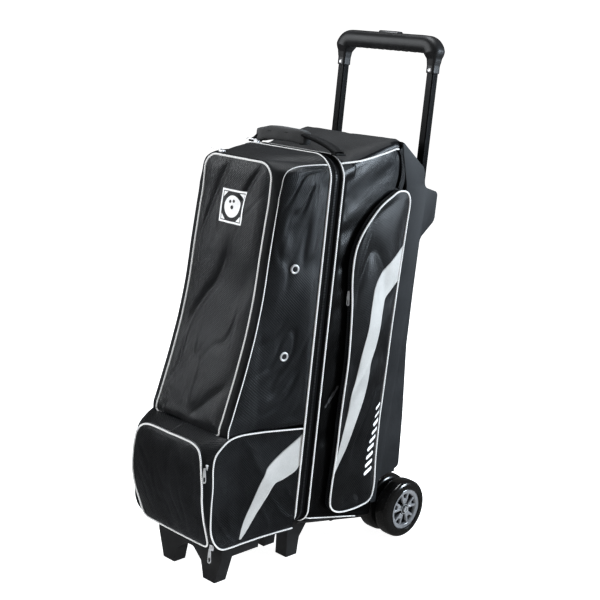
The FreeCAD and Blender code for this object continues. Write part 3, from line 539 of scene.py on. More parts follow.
def nylon(name, dark, light, pitch=0.0036, rough=0.25, sheen=0.02, weave=0.6, soft=0.3, shine=0.42,
          lower=None):
    """Woven nylon with a small diagonal dot in the weave.  Given a lower colour, painted shade turns the
    cloth to it below a slanted, wavy line.
    """
    g = Graph(name)
    obj, uv, straight = g.coords("Object"), g.coords("UV", turn=45), g.coords("UV")
    dots = g.math("MULTIPLY", g.wave(uv, pitch, "X"), g.wave(uv, pitch, "Y"))
    thread = g.math("MULTIPLY", g.wave(straight, THREAD, "X"), g.wave(straight, THREAD, "Y"))
    cloudy, fine = g.noise(obj, 9, 4, 0.6), g.noise(obj, 900, 2)
    weave_tone_and_shade = g.fade(dots, 0.1, 0.75, dark, light)
    weave_tone_and_shade = g.fade(cloudy, 0.35, 0.7, weave_tone_and_shade, brighter(light, 1.25))
    weave_tone_and_shade = g.fade(fine, 0.3, 0.8, weave_tone_and_shade, brighter(light, 1.7), 0.35)
    # painted shade: below a wavy line about 0.77 m up, rising towards the back, the cloth takes the dark
    # lower colour
    if lower is not None:
        split = g.node("SeparateXYZ", {0: obj})
        height = g.math("SUBTRACT", split[2], g.math("MULTIPLY", split[1], 0.25))
        height = g.scaled(g.noise(obj, 16, 3), 0.09, height)
        weave_tone_and_shade = g.fade(height, 0.745, 0.80, lower, weave_tone_and_shade)
    rough_out = g.scaled(cloudy, 0.12, g.scaled(dots, -0.16, rough + 0.06))
    bump = g.bump(thread, weave * 0.5, 0.0003)
    bump = g.bump(dots, weave, 0.0006, bump)
    bump = g.bump(g.noise(obj, 60, 3), soft, 0.002, bump)
    return g.set(Base_Color=weave_tone_and_shade, Roughness=rough_out, Normal=bump, Sheen_Weight=sheen,
                 Sheen_Roughness=0.35, Sheen_Tint=(0.9, 0.95, 1.0), Specular_IOR_Level=shine)


def plastic(name, dark, light, rough, grain=0.15, size=450, coat=0.0, specular=0.5):
    """Moulded plastic: a fine grain, slow changes of tone and polished patches."""
    g = Graph(name)
    obj = g.coords("Object")
    cloudy, fine = g.noise(obj, 14, 4, 0.6), g.noise(obj, size, 2)
    base = g.fade(cloudy, 0.35, 0.68, dark, light)
    base = g.fade(fine, 0.45, 0.9, base, brighter(light, 1.6), 0.3)
    return g.set(Base_Color=base, Roughness=g.scaled(cloudy, 0.14, rough - 0.05),
                 Normal=g.bump(fine, grain, 0.0004), Coat_Weight=coat, Coat_Roughness=0.12,
                 Specular_IOR_Level=specular)


def metal(name, dark, light, rough):
    """Cast metal with fine lines across it."""
    g = Graph(name)
    lines = g.noise(g.coords("Object", (30, 30, 900)), 1, 3)
    base = g.fade(g.noise(g.coords("Object"), 120, 3), 0.3, 0.7, dark, light)
    return g.set(Base_Color=base, Metallic=0.5, Roughness=g.scaled(lines, 0.18, rough - 0.05),
                 Normal=g.bump(lines, 0.15, 0.0003))


def braid(name, dark, light, pitch, rough=0.5, strength=0.6, shine=0.4):
    """A cord or tape with slanted yarns."""
    g = Graph(name)
    yarn = g.math("MAXIMUM", *[g.wave(g.coords("UV", turn=turn), pitch) for turn in (35, -35)])
    fine = g.noise(g.coords("Object"), 700, 2)
    base = g.fade(fine, 0.35, 0.8, g.fade(yarn, 0.3, 0.85, dark, light), dark, 0.4)
    return g.set(Base_Color=base, Roughness=g.scaled(fine, 0.2, rough - 0.1),
                 Normal=g.bump(yarn, strength, 0.0005), Sheen_Weight=0.04, Sheen_Roughness=0.4,
                 Specular_IOR_Level=shine)


def foam_block(name, base, light):
    """Open-cell foam."""
    g = Graph(name)
    obj = g.coords("Object")
    cells = g.node("TexVoronoi", {"Scale": 420, "Vector": obj})["Distance"]
    return g.set(Base_Color=g.fade(cells, 0.1, 0.7, base, light), Normal=g.bump(cells, 0.5, 0.0006),
                 Roughness=g.scaled(g.noise(obj, 30), 0.1, 0.8))


INK = (0.001, 0.0011, 0.0013)
SHELL = nylon("shell_nylon", INK, (0.0118, 0.0126, 0.0142))
PANEL_CLOTH = nylon("panel_nylon", (0.0022, 0.0023, 0.0025), (0.0145, 0.015, 0.016),
                    weave=0.25, soft=0.15, shine=0.32)
# its lower colour is painted shade over the compartment's cloth below about 0.77 m, between the ring and the
# side pockets
REAR_SHELL = nylon("rear_nylon", INK, (0.0072, 0.0079, 0.0094), weave=0.12, soft=0.1, shine=0.3,
                   lower=(0.0012, 0.0012, 0.0013))
BINDING = braid("binding_tape", (0.002, 0.002, 0.0022), (0.03, 0.031, 0.033), 0.0034, 0.5, 0.9, 0.3)
GUSSET = nylon("gusset_nylon", (0.012, 0.0122, 0.0125), (0.026, 0.0262, 0.027), 0.0022, 0.5, 0.04,
               weave=0.3, soft=0.4, shine=0.3)
LINING = nylon("lining", (0.006, 0.006, 0.0065), (0.013, 0.0132, 0.014), 0.0018, 0.55, 0.1)
SILVER_CLOTH = nylon("silver_nylon", (0.35, 0.352, 0.346), (0.43, 0.432, 0.424), 0.0016, 0.42, 0.1,
                     weave=0.25, soft=0.25)
EMBLEM_WHITE = nylon("emblem_print", (0.66, 0.665, 0.67), (0.8, 0.8, 0.8), 0.0016, 0.42,
                     weave=0.2, soft=0.2)
TOP_BAND = nylon("band_nylon", INK, (0.0105, 0.0112, 0.0124), rough=0.42, weave=0.4, shine=0.3)
PIPING = braid("piping_cord", (0.52, 0.52, 0.52), (0.93, 0.925, 0.91), 0.0032)
TAPE = braid("zip_tape", (0.0012, 0.0012, 0.0013), (0.0055, 0.0056, 0.006), 0.0016, 0.6, 0.4, 0.12)
COIL = plastic("coil_nylon", (0.02, 0.02, 0.021), (0.05, 0.05, 0.053), 0.35, 0.1)
WEB = braid("webbing_weave", (0.002, 0.002, 0.0022), (0.010, 0.0102, 0.011), 0.0028, 0.55, 0.9, 0.2)
WRAP = nylon("wrap_fabric", (0.024, 0.024, 0.0244), (0.075, 0.0752, 0.076), 0.0026, 0.6, 0.2)
PANEL_PLASTIC = plastic("panel_plastic", (0.018, 0.0192, 0.021), (0.026, 0.0277, 0.0302),
                        0.5, 0.2, 500, 0.0, 0.28)
BASE_PLASTIC = plastic("base_plastic", (0.016, 0.016, 0.0165), (0.027, 0.0272, 0.028), 0.42, 0.22, 380)
GRIP_PLASTIC = plastic("grip_plastic", (0.012, 0.012, 0.0125), (0.019, 0.019, 0.02),
                       0.42, 0.25, 600, 0.0, 0.4)
BUTTON_PLASTIC = plastic("button_plastic", (0.016, 0.016, 0.017), (0.026, 0.026, 0.028), 0.3, 0.1, 500)
PLUG_PLASTIC = plastic("plug_plastic", (0.01, 0.01, 0.011), (0.02, 0.02, 0.021), 0.5)
TUBE_BLACK = plastic("black_tube", (0.003, 0.003, 0.0034), (0.006, 0.006, 0.0068),
                     0.26, 0.04, 260, 0.0, 0.07)
TYRE_BLACK = plastic("tyre_rubber", (0.008, 0.0077, 0.0074), (0.014, 0.0135, 0.013), 0.17, 0.05, 300, 0.4)
RIM_GREY = plastic("rim_plastic", (0.15, 0.153, 0.16), (0.27, 0.275, 0.285), 0.2, 0.08, 400, 0.5)
HUB_BLACK = plastic("hub_plastic", (0.006, 0.006, 0.0065), (0.012, 0.012, 0.013), 0.3, 0.1)
NICKEL = metal("nickel", (0.72, 0.72, 0.73), (0.92, 0.92, 0.93), 0.3)
STEEL = metal("steel", (0.42, 0.43, 0.44), (0.62, 0.63, 0.64), 0.3)
FOAM = foam_block("cradle_foam", (0.02, 0.02, 0.021), (0.05, 0.05, 0.052))
BOARD = nylon("board_lining", (0.008, 0.008, 0.0085), (0.018, 0.0182, 0.019), 0.0024, 0.6, 0.1)

SLOT_LOOKS = {
    "shell_fabric": SHELL, "panel_fabric": PANEL_CLOTH, "zip_tape": TAPE, "board": BOARD,
    "foam": FOAM, "panel_plastic": PANEL_PLASTIC, "base_plastic": BASE_PLASTIC,
    "black_tube": TUBE_BLACK, "plug_plastic": PLUG_PLASTIC, "grip_plastic": GRIP_PLASTIC,
    "button_plastic": BUTTON_PLASTIC, "steel": STEEL, "eyelet": NICKEL, "webbing": WEB,
    "wrap_fabric": WRAP, "tyre": TYRE_BLACK, "rim_plastic": RIM_GREY, "nickel": NICKEL,
}
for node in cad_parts.values():
    for index, item in enumerate(node.data.materials):
        node.data.materials[index] = SLOT_LOOKS.get(item.name.split(".")[0] if item else "", BASE_PLASTIC)


# ---------------------------------------------------------------- rear compartment

RING_HALF, RING_TOP, TOP_ROUND = 134.0, 831.0, 46.0
PIPE_Y = -85.4              # the depth of the door's piping on the ring
REAR_Y = [-50, 0, 50, 96, 112, 150]
REAR_TOP = [831, 842, 857, 869, 868.5, 852]
ON_SIDE, ON_TOP = 133, 700           # points further out or higher are on a side or on the top
HOLLOW_Y, HOLLOW_REACH, HOLLOW_DEEP = -29, 28, 8.0
BINDING_LINE = [(108, 853), (116, 843), (122.5, 826), (125.5, 810), (125.5, 793), (121, 772)]


def rear_corner(y):
    """Half width, bottom, top and the two corner radii of the compartment at a depth."""
    return (134, np.interp(y, [-50, -35, 108, 150], [91, 87, 69, 64]), np.interp(y, REAR_Y, REAR_TOP),
            np.interp(y, [-50, 108, 150], [28, 16, 14]), np.interp(y, [-50, 98, 150], [46, 20, 18]))


def build_rear():
    depths = np.concatenate([np.linspace(-50, 146, 70), [149, 150]])
    rings = []
    for y, inset in zip(depths, [0] * 70 + [2, 6]):
        half, low, high, r_low, r_high = rear_corner(y)
        rings.append(at_depth(frame_loop(half - inset, low + inset, high - inset, r_low, r_high), y))
    grid = np.array(rings)
    uv = grid_uv(grid * MM)
    inward = folds(uv, 3.3, 62, 0.20, 0.075)
    fade = ease((depths + 50) / 20)[:, None] * ease((150 - depths) / 20)[:, None]
    side = np.abs(grid[..., 0]) > ON_SIDE
    top = grid[..., 2] > ON_TOP
    grid[..., 0] += np.where(side, np.sign(grid[..., 0]) * np.minimum(inward - 0.8, 0) * 4.0 * fade, 0)
    grid[..., 2] += np.where(top & ~side, inward * 1.5 * fade, 0)
    # a hollow behind the carry handle, which folds back into it
    hollow = ease(1 - np.abs(depths - HOLLOW_Y) / HOLLOW_REACH)[:, None]
    hollow = hollow * ease((120 - np.abs(grid[..., 0])) / 16)
    grid[..., 2] -= np.where(top, HOLLOW_DEEP * hollow, 0)
    rows, cols = grid.shape[:2]
    faces = grid_faces(rows, cols, False, True) + [tuple((rows - 1) * cols + k for k in range(cols))]
    obj = new_mesh("rear_cloth", lean(grid).reshape(-1, 3), faces, [REAR_SHELL, GUSSET],
                   uv.reshape(-1, 2))
    obj.data.polygons.foreach_set("material_index", [
        int(f.center.z > 0.8 and abs(f.center.x) < 0.1275) for f in obj.data.polygons])
    thicken(obj, 3, 1)
    place(obj, "rear_body", "shell_fabric", "rear_shell")

    strips, pipes = [], []
    line = along(smooth(BINDING_LINE), 40)
    high_angle, low_angle = [45, 4], math.radians(-40)
    for _, sign in SIDES:
        grid = [[(sign * (136.2 + 1.8 * math.sin(math.pi * k / 8)), *(p + n * (k - 4) * 1.75))
                 for k in range(9)] for p, n in zip(line, right_of(line))]
        strips.append(sheet("s", lean(np.array(grid)), BINDING, flip=sign > 0))
        high_line, low_line = [], []
        for y in np.linspace(-49, 104, 50):
            half, low, high, r_low, r_high = rear_corner(y)
            a = math.radians(np.interp(y, [-50, 98], high_angle))
            high_line.append((sign * (half - r_high + r_high * math.cos(a) + 0.4), y,
                              high - r_high + r_high * math.sin(a) + 0.4))
            low_line.append((sign * (half - r_low + r_low * math.cos(low_angle)), y,
                             low + r_low + r_low * math.sin(low_angle)))
        pipes += [tube("p", lean(high_line), 1.8, PIPING), tube("p", lean(low_line), 1.7, PIPING)]
    merged("wing_binding", strips, "rear_body", "shell_fabric")
    merged("rear_piping", pipes, "rear_body", "shell_fabric")


# ---------------------------------------------------------------- zipper ring

RING = frame_loop(RING_HALF, 91, RING_TOP, 30, TOP_ROUND, flat=40, bend=14, side=120)
RING_OUT = right_of(RING, closed=True)
RING_PROFILE = [(0.2, -50), (1.6, -51.2), (2.2, -53), (1.7, -54.8), (0.2, -56), (-1.6, -57),
                (-2.2, -59.5), (-2.2, -66.6), (-4, -67.2), (-12, -67.2), (-12, -50)]


def ring_path(out, y):
    return lean(at_depth(RING + RING_OUT * out, y))


def teeth(name, path, axis, size, pitch):
    """A row of small moulded teeth along a path; axis is their long direction."""
    centres = along(path, int(run(path)[-1] / (pitch * MM)))
    count = len(centres)
    tangent = unit(np.gradient(centres, axis=0))
    up = unit(np.cross(tangent, axis))
    cube = np.array([(x, y, z) for x in (-1, 1) for y in (-1, 1) for z in (-1, 1)], float) / 2
    quads = [(0, 1, 3, 2), (4, 6, 7, 5), (0, 4, 5, 1), (2, 3, 7, 6), (0, 2, 6, 4), (1, 5, 7, 3)]
    taper = np.where(cube[:, 2] > 0, 0.6, 1.0)
    verts = (centres[:, None] + (tangent[:, None] * (cube[:, 0] * taper)[None, :, None] * size[0]
             + np.array(axis, float)[None, None] * (cube[:, 1] * taper)[None, :, None] * size[1]
             + up[:, None] * cube[:, 2][None, :, None] * size[2]) * MM)
    faces = [tuple(8 * k + i for i in q) for k in range(count) for q in quads]
    return new_mesh(name, verts.reshape(-1, 3), faces, COIL, soft=False)


def build_ring():
    front = [(x, -135 - y) for x, y in RING_PROFILE][::-1]
    for name, profile, body, tooth_y, pipe_y, node in (
            ("ring_rear", RING_PROFILE, "rear_body", -66.2, -49.5, "rear_zip_ring"),
            ("ring_front", front, "front_door", -68.8, PIPE_Y, "front_zip_ring")):
        p = np.array(profile)
        xz = RING[:, None] + RING_OUT[:, None] * p[None, :, :1]
        world = lean(np.stack([xz[..., 0], np.broadcast_to(p[None, :, 1], xz.shape[:2]), xz[..., 1]], -1))
        band = grid_mesh("band", world, TAPE, grid_uv(world)[..., ::-1], True, True, flip=True)
        path = ring_path(-1.4, tooth_y)
        row = teeth("t", np.vstack([path, path[:1]]), (0, COS, -SIN), (1.7, 1.8, 1.8), 3.0)
        pipe = tube("p", ring_path(1.5, pipe_y), 2.0, PIPING, closed=True)
        merged(name, [band, row, pipe], body, "zip_tape", node)


# ---------------------------------------------------------------- the door's upper half

COVER_Z = [300, 315, 328, 346, 383, 420, 458, 495, 532, 570, 608, 645, 683, 720, 757, 813, 836]
COVER_Y = [-248, -247.5, -247, -240, -227, -214, -202, -191, -182, -174, -168, -163, -157, -151,
           -145, -141, -141]
COVER_LINE = smooth(np.column_stack([COVER_Z, COVER_Y]), steps=12)
COVER_HALF, COVER_TOP, COVER_ROUND = 94.0, 823, 31


def cover_y(z):
    return np.interp(z, COVER_LINE[:, 0], COVER_LINE[:, 1])


def on_cover(points, back=0.0):
    """(x, z) points put on the line of the cover's front."""
    p = np.asarray(points, float)
    return np.column_stack([p[:, 0], cover_y(p[:, 1]) + back, p[:, 1]])


def taper_x(y):
    """Half width of the door at a depth."""
    return 112 + 22 * np.clip((np.asarray(y, float) + 170) / 108, 0, 1)


def cover_right():
    """The cover's right edge, from its bottom corner to the middle of the top."""
    return [np.linspace((COVER_HALF, 316), (COVER_HALF, COVER_TOP - COVER_ROUND), 90),
            arc(COVER_HALF - COVER_ROUND, COVER_TOP - COVER_ROUND, COVER_ROUND, 0, 90, 14),
            np.linspace((COVER_HALF - COVER_ROUND, COVER_TOP), (0, COVER_TOP), 30)]


def ring_points(heights):
    """The ring's front piping line on the right, at the given leaning heights."""
    out = []
    for z in heights:
        x = RING_HALF
        if z > RING_TOP - TOP_ROUND:
            x = x - TOP_ROUND + math.sqrt(max(0, TOP_ROUND ** 2 - (z - RING_TOP + TOP_ROUND) ** 2))
        if z < 121:
            x = 104 + math.sqrt(max(0, 900 - (z - 121) ** 2))
        out.append([x, PIPE_Y, z])
    return lean(out) / MM


def second_line():
    """The seam behind the cover: up the side and back along the top edge to the ring."""
    z = np.linspace(312, 762, 60)
    up = np.column_stack([np.full(60, 111.0), cover_y(z) + 6.5, z])
    bend = smooth([up[-1], (111.2, -132.5, 783), (111.6, -129, 799), (113, -120, 811), (116, -101, 817.5),
                   (120.5, -75, 819.6), (122.5, -46, 819.4), ring_points([814.5])[0]], steps=8)
    return up, bend


def inner_floor(name, depths, half_at, height_at):
    """A lining sheet across the door."""
    rows = [[(x, y, height_at(x)) for x in np.linspace(-half_at(y), half_at(y), 40)]
            for y in np.linspace(*depths, 30)]
    place(sheet(name, level(rows), LINING, 2.5), "front_door", "shell_fabric")


def build_upper():
    # side panels: from the seam back to the ring, by level lines
    up, bend = second_line()
    seam = matched([up, bend], (100, 60))
    ring = ring_points(np.concatenate([np.linspace(307, 759, 100), np.linspace(770, 814.5, 60)[1:]]))
    t = np.linspace(0, 1, 44)[None, :, None]
    panel = seam[:, None] * (1 - t) + ring[:, None] * t
    edge = (t[..., 0] * (1 - t[..., 0]) * 4) ** 0.25
    hold = np.clip((160 - np.arange(len(seam))) / 50.0, 0, 1)[:, None]
    panel[..., 0] += (taper_x(panel[..., 1]) - panel[..., 0]) * edge * hold
    for side, sign in SIDES:
        g = cloth_shape(level(panel), 2.0, 7.5, 11.0 + sign, 76, 0.22, 0.075)
        obj = sheet("upper_side_" + side, g * np.array([sign, 1, 1]), SHELL, 2.5, flip=sign < 0)
        place(obj, "front_door", "shell_fabric", *(["upper_shell"] if sign > 0 else []))
    merged("upper_piping", [tube("p", level(s), 1.8, PIPING) for s in both(seam)],
           "front_door", "shell_fabric")

    # gusset: between the cover's edge and the seam, then the top back to the ring
    inner = [on_cover(line + np.array(off), 1.5)
             for line, off in zip(cover_right(), ([1.6, 0], [1.6, 1.6], [0, 1.6]))]
    top = [tuple(lean([x, PIPE_Y, RING_TOP]) / MM) for x in np.linspace(86, 0, 20)]
    outer = [up, bend, np.vstack([ring_points(np.linspace(814.5, 830.9, 8)), top])]
    a, b = [joined([line, mirror(line)]) for line in
            (matched(parts, (90, 44, 40)) for parts in (inner, outer))]
    t = np.linspace(0, 1, 26)[:, None, None]
    grid = a[None] * (1 - t) + b[None] * t
    swell = np.sin(math.pi * t[:, :, 0])
    on_top = ease(1 - np.abs(np.arange(len(a)) - len(a) // 2) / 75.0)[None]
    grid[..., 2] += swell * on_top * 2.5
    grid[..., 1] -= swell * (1 - on_top) * 1.5
    g = level(grid)
    crease = folds(grid_uv(g), 4.4, 0, 0.05, 0.03) * swell * MM
    g[..., 2] += crease * on_top * 1.6
    g[..., 1] += crease * (1 - on_top) * 0.6
    lip = [level(a + np.array([0, deep, 0]) - np.sign(a[:, :1]) * np.array([[inward, 0, 0]]))
           for deep, inward in ((12, 6), (11, 1), (6, 0.8))]
    place(sheet("upper_gusset", np.concatenate([lip, g]), TOP_BAND, 2.0), "front_door", "shell_fabric")
    inner_floor("upper_shelf", (-240, -62), lambda y: float(taper_x(y)) - 3,
                lambda x: 314 + 1.2 * math.cos(x / 40) - 1.2)


def padded_panel(name, loop, corners, across, rows, shape, depth, node, **held):
    """A quilted cover with the piping sewn round it."""
    face = cloth_shape(patch(loop, corners, across, rows), *shape, **held)
    pad = pillow(name + "_pad", face, (0, 1, 0), depth, SHELL, LINING)
    place(pad, node, "panel_fabric", node)
    pipe = tube(name + "_piping", loop + np.array([0, -0.0006, 0]), 1.9, PIPING, closed=True)
    place(pipe, node, "panel_fabric")
    return pad


def build_cover():
    right = joined(cover_right())
    low = joined([np.linspace((0, 313), (COVER_HALF - 8, 313), 20),
                  arc(COVER_HALF - 8, 321, 8, -90, 0, 6)])
    loop = level(on_cover(joined([low, right, mirror(right), mirror(low)])[:-1]))
    corners = ([level([s * (COVER_HALF - 3), cover_y(314), 314]) for s in (-1, 1)]
               + [level([s * (COVER_HALF - 0.3 * COVER_ROUND), cover_y(814),
                         COVER_TOP - 0.3 * COVER_ROUND]) for s in (1, -1)])
    return padded_panel("cover", loop, corners, 74, 200, (5.0, 6.5, 21.5, 70, 0.25, 0.085), 9.5,
                        "upper_cover")


# ---------------------------------------------------------------- lower pocket

POCKET_EDGE = [(-60, 301), (-88, 303.5), (-139, 308), (-189, 312), (-220, 313), (-242, 309), (-260, 298),
               (-274, 284), (-279, 261), (-278, 223), (-280, 186), (-280, 149), (-277, 127), (-267, 106),
               (-250, 91), (-225, 88), (-176, 89), (-109, 92), (-76, 93)]
FLAP_HALF = smooth([(0, 302), (40, 302.5), (68, 301), (86, 294), (96, 281), (100, 266), (103, 248),
                    (105.5, 225), (106, 200), (105.5, 178), (104, 155), (102, 132), (101, 116), (99, 103),
                    (92, 95), (78, 92), (0, 91)], steps=8)
FLAP_Y = np.array([(91, -266), (100, -270), (117, -275), (130, -279), (155, -287), (178, -292.5),
                   (200, -295.5), (250, -296), (280, -294), (302, -289)], float)


def on_flap(line, back=0.0):
    return np.column_stack([line[:, 0], np.interp(line[:, 1], *FLAP_Y.T) + back, line[:, 1]])


def pocket_x(y):
    return np.interp(y, [-285, -200, -150, -62], [114, 114, 118, 132.5])


def build_pocket():
    edge = smooth(POCKET_EDGE, steps=8)
    side = np.column_stack([pocket_x(edge[:, 0]), edge[:, 0], edge[:, 1]])
    ring = ring_points(np.linspace(96, 304, 60))
    corners = level([ring[0], [114, -262, 99], [114, -268, 291], ring[-1]])
    # the outline runs from the ring forward along the bottom
    outline = level(joined([side, ring]))[:-1][::-1]
    face = cloth_shape(patch(outline, corners, 80, 80), 3.5, 2.4, 31.0, 55, 0.18, 0.08)
    surfaces = {}
    for name, sign in SIDES:
        obj = sheet("pocket_side_" + name, face * np.array([sign, 1, 1]), SHELL, 2.5, flip=sign > 0)
        place(obj, "front_door", "shell_fabric", *(["lower_pocket"] if sign > 0 else []))
        surfaces[name] = obj
    merged("pocket_piping", [tube("p", level(s), 1.8, PIPING) for s in both(side + [1.2, 0, 0])],
           "front_door", "shell_fabric")

    # gusset: front edge of the side panels round to the edge of the flap, with the zip's coil on it
    flap = on_flap(FLAP_HALF, 2.5)
    start = int(np.argmax(flap[:, 0] > 84))
    end = len(flap) - int(np.argmax(flap[::-1, 0] > 90))
    top = [(x, -244, 313.5) for x in np.linspace(0, 108, 16)]
    low = [(x, -232, 88) for x in np.linspace(112, 0, 16)]
    inner, outer = [joined([line, mirror(line)]) for line in
                    (matched(parts, (24, 76, 20)) for parts in
                     ((flap[:start + 1], flap[start:end], flap[end - 1:]),
                      (top, side[side[:, 1] < -236], low)))]
    t = np.linspace(0, 1, 16)[:, None, None]
    band = outer[None] * (1 - t) + inner[None] * t
    away = unit((band - np.array([0, -255, 200.0])) * np.array([1, 0.4, 1]))
    band = band + away * (np.sin(math.pi * t) * 2.0)
    inside = inner[None] + np.array([0.0, 9.0, 0.0]) - away[-1:] * 3.0
    place(sheet("pocket_gusset", level(np.concatenate([band, inside])), SHELL, 2.0),
          "front_door", "shell_fabric")
    coil = teeth("pocket_coil", level((band + away * 0.6)[8][8:-8]), (0, 1, 0), (1.6, 4.2, 1.5), 2.6)
    place(coil, "front_door", "zip_tape")
    inner_floor("pocket_floor", (-236, -78), lambda y: float(pocket_x(y)) - 1,
                lambda x: 90 + 0.8 * math.sin(x / 30.0))
    return surfaces


def build_flap():
    outline = joined([FLAP_HALF[::-1], FLAP_HALF * np.array([-1, 1])])[:-1]
    corners = level(on_flap(np.array([(-97, 99), (97, 99), (92, 289), (-92, 289)], float)))
    padded_panel("flap", level(on_flap(outline)), corners, 80, 84, (5.0, 2.2, 41.0, 100, 0.16, 0.08),
                 10.5, "lower_flap", power=3)


# ---------------------------------------------------------------- side pockets

SIDE_OUTLINE = [(2, 127), (9, 115), (19, 108), (39, 103), (76, 103), (110, 108), (122, 113), (130, 123),
                (133, 148), (130, 180), (127, 221), (125.5, 299), (127, 341), (129, 423), (130, 481),
                (133, 560), (137, 640), (140, 703), (142, 734), (140, 754), (129, 766), (106, 767),
                (85, 756), (56, 737), (26, 705), (3, 670), (-6, 635), (-5, 590), (2, 544), (7, 491),
                (10, 420), (6, 321), (5, 234), (1, 160)]
SIDE_PROFILE = [(-0.6, 134.4), (0.2, 136.4), (0.3, 137.8), (-0.5, 138.4), (-0.5, 140.4), (0.3, 141.0),
                (0.2, 143), (-0.2, 144.3), (-4.5, 144.2)]
SIDE_CORNERS = [(3, 125), (130, 122), (140, 755), (5, 674)]
SWOOSH = [[(138, 659), (124, 644), (108, 630), (88, 611), (69, 593), (60, 575), (58, 563), (55, 526),
           (53, 488), (41, 424), (29, 348), (16, 274), (9.5, 241), (4, 207), (2, 186)],
          [(132, 584), (115, 567), (99, 551), (94, 530), (88, 485), (75, 420), (64, 352), (46, 296),
           (29, 246), (14, 211), (3, 186)]]
LOW_SWOOSH = [[(-57, 293), (-81, 277), (-114, 256), (-141, 234), (-148, 220), (-160, 197), (-178, 163),
               (-193, 133), (-204, 98)],
              [(-58, 237), (-77, 215), (-102, 203), (-125, 196), (-140, 173), (-162, 145), (-183, 115),
               (-199, 97)]]


def hinge_side(obj):
    """A side flap's cloth piece with its placement baked into its mesh; it is tied to no body and does not
    open.
    """
    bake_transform(obj)


def side_points(x, outline):
    """(depth, height) points on the side of the compartment."""
    p = np.asarray(outline, float)
    return lean(np.column_stack([np.full(len(p), x), p]))


def build_side_pocket(name, sign):
    outline = smooth(SIDE_OUTLINE, closed=True, steps=8)
    loop = along(outline, 260, closed=True)
    n = right_of(loop, closed=True)
    centre = outline.mean(0)
    if ((loop + n - centre) ** 2).sum() < ((loop - centre) ** 2).sum():
        n = -n
    grid = np.array([side_points(sign * x, loop + n * out) for out, x in SIDE_PROFILE])
    gusset = grid_mesh("side_gusset_" + name, grid, SHELL, cols=True, flip=sign > 0)
    thicken(gusset, 1.2)
    place(gusset, "rear_body", "panel_fabric", "side_pocket_" + name)
    path = side_points(sign * 139.4, loop + n * 0.1)
    coil = teeth("side_coil_" + name, np.vstack([path, path[:1]]), (1, 0, 0), (1.5, 3.4, 1.4), 2.6)
    place(coil, "rear_body", "zip_tape")
    rim = tube("side_rim_" + name, side_points(sign * 143.6, loop + n * 0.2), 1.3, WEB, closed=True)
    place(rim, "rear_body", "panel_fabric")

    edge = side_points(sign * 146.5, loop)
    corners = side_points(sign * 146.5, SIDE_CORNERS)
    if sign < 0:
        edge, corners = edge[::-1], corners[[1, 0, 3, 2]]
    face = cloth_shape(patch(edge, corners, 64, 230), 7.5, 6.5, 51.0 + sign, 76, 0.24, 0.10, 0.02, 2.6)
    pad = pillow("side_pad_" + name, face, (-sign, 0, 0), 2.0, PANEL_CLOTH, LINING)
    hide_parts("side_flap_" + name)
    pipe = tube("side_piping_" + name, side_points(sign * 147.6, loop + n * 0.6), 1.9, PIPING, closed=True)
    hinge_side(pipe)
    return pad


def ribbon(edges, count, x):
    """A band between two (depth, height) lines, beside the bag."""
    a, b = [along(smooth(line), count)[:, None] for line in edges]
    t = np.linspace(0, 1, 14)[None, :, None]
    yz = a * (1 - t) + b * t
    return np.concatenate([np.full(yz.shape[:2] + (1,), float(x)), yz], -1)


def build_side_prints(name, sign, pad, pocket):
    way = (-sign, 0, 0)
    swoosh = laid("side_swoosh_" + name, lean(ribbon(SWOOSH, 90, sign * 150)), pad, way, SILVER_CLOTH,
                  0.7, 0.5)
    hinge_side(swoosh)
    low = laid("pocket_swoosh_" + name, level(ribbon(LOW_SWOOSH, 60, sign * 125)), pocket, way,
               SILVER_CLOTH, 0.7, 0.5)
    place(low, "front_door", "panel_fabric")
    bars = []
    for k in range(9):
        y, z = 110 - 1.2 * k + 2.5 * math.sin(k * 0.9), 322 - 17.5 * k
        long, high = 15 + 1.1 * k, 7.0 + 0.35 * k
        rows = [[(sign * 150.0, y + u * long * (1 - 0.9 * v * v), z + v * high + u * 9.0)
                 for u in np.linspace(-0.5, 0.5, 9)] for v in np.linspace(-0.5, 0.5, 5)]
        bars.append(laid("b", lean(rows), pad, way, EMBLEM_WHITE))
    hinge_side(merged("side_bars_" + name, bars, None, "panel_fabric"))
    hinge_side(pad)


EMBLEM_X, EMBLEM_Z, EMBLEM_HALF = 3.0, 731.0, 30.0


def build_emblem(cover):
    """A thin square frame and four corner marks round a ball with three finger holes."""
    cx, cz, half = EMBLEM_X, EMBLEM_Z, EMBLEM_HALF
    ang = np.linspace(0, TURN, 49)

    def disc(x, z, radii, angles):
        return [[(x + r * math.cos(a), z + r * math.sin(a)) for r in radii] for a in angles]

    white = []
    for level_bar in (True, False):
        for s in (-half, half):
            white.append([[(cx + a, cz + s + b) if level_bar else (cx + s + b, cz + a)
                           for b in (-1.9, 1.9)] for a in np.linspace(-half - 1.9, half + 1.9, 24)])
    white.append(disc(cx, cz, np.linspace(0.1, 21.0, 12), ang))
    for s, t in ((1, 1), (-1, 1), (-1, -1), (1, -1)):
        white.append([[(cx + s * (half - 3.5 - 11.0 * u * (1 - v)), cz + t * (half - 3.5 - 11.0 * u * v))
                       for u in np.linspace(0.02, 1, 5)] for v in np.linspace(0, 1, 7)])
    dark = [disc(cx + x, cz + z, (0.05, r * 0.6, r), ang[::3])
            for x, z, r in ((-6, 9, 3.0), (3.5, 10.5, 3.0), (0.5, -1.5, 3.8))]
    parts = []
    for shapes, look, lift in ((white, EMBLEM_WHITE, 0.6), (dark, SHELL, 0.95)):
        for shape in shapes:
            points = np.insert(np.array(shape), 1, -150.0, axis=-1)
            parts.append(laid("e", level(points), cover, (0, 1, 0), look, lift))
    merged("cover_emblem", parts, "upper_cover", "panel_fabric")


# ---------------------------------------------------------------- hard parts

def roof_shape(co):
    """The panel's roof tucked down behind the cloth, with its front corner eased."""
    x, y, z = unlean(co)
    if z > 845 and y < 118:
        y, z = y + 11, z - 5
    elif z > 845:
        z -= 3
    return Vector(lean([x, y, z]))


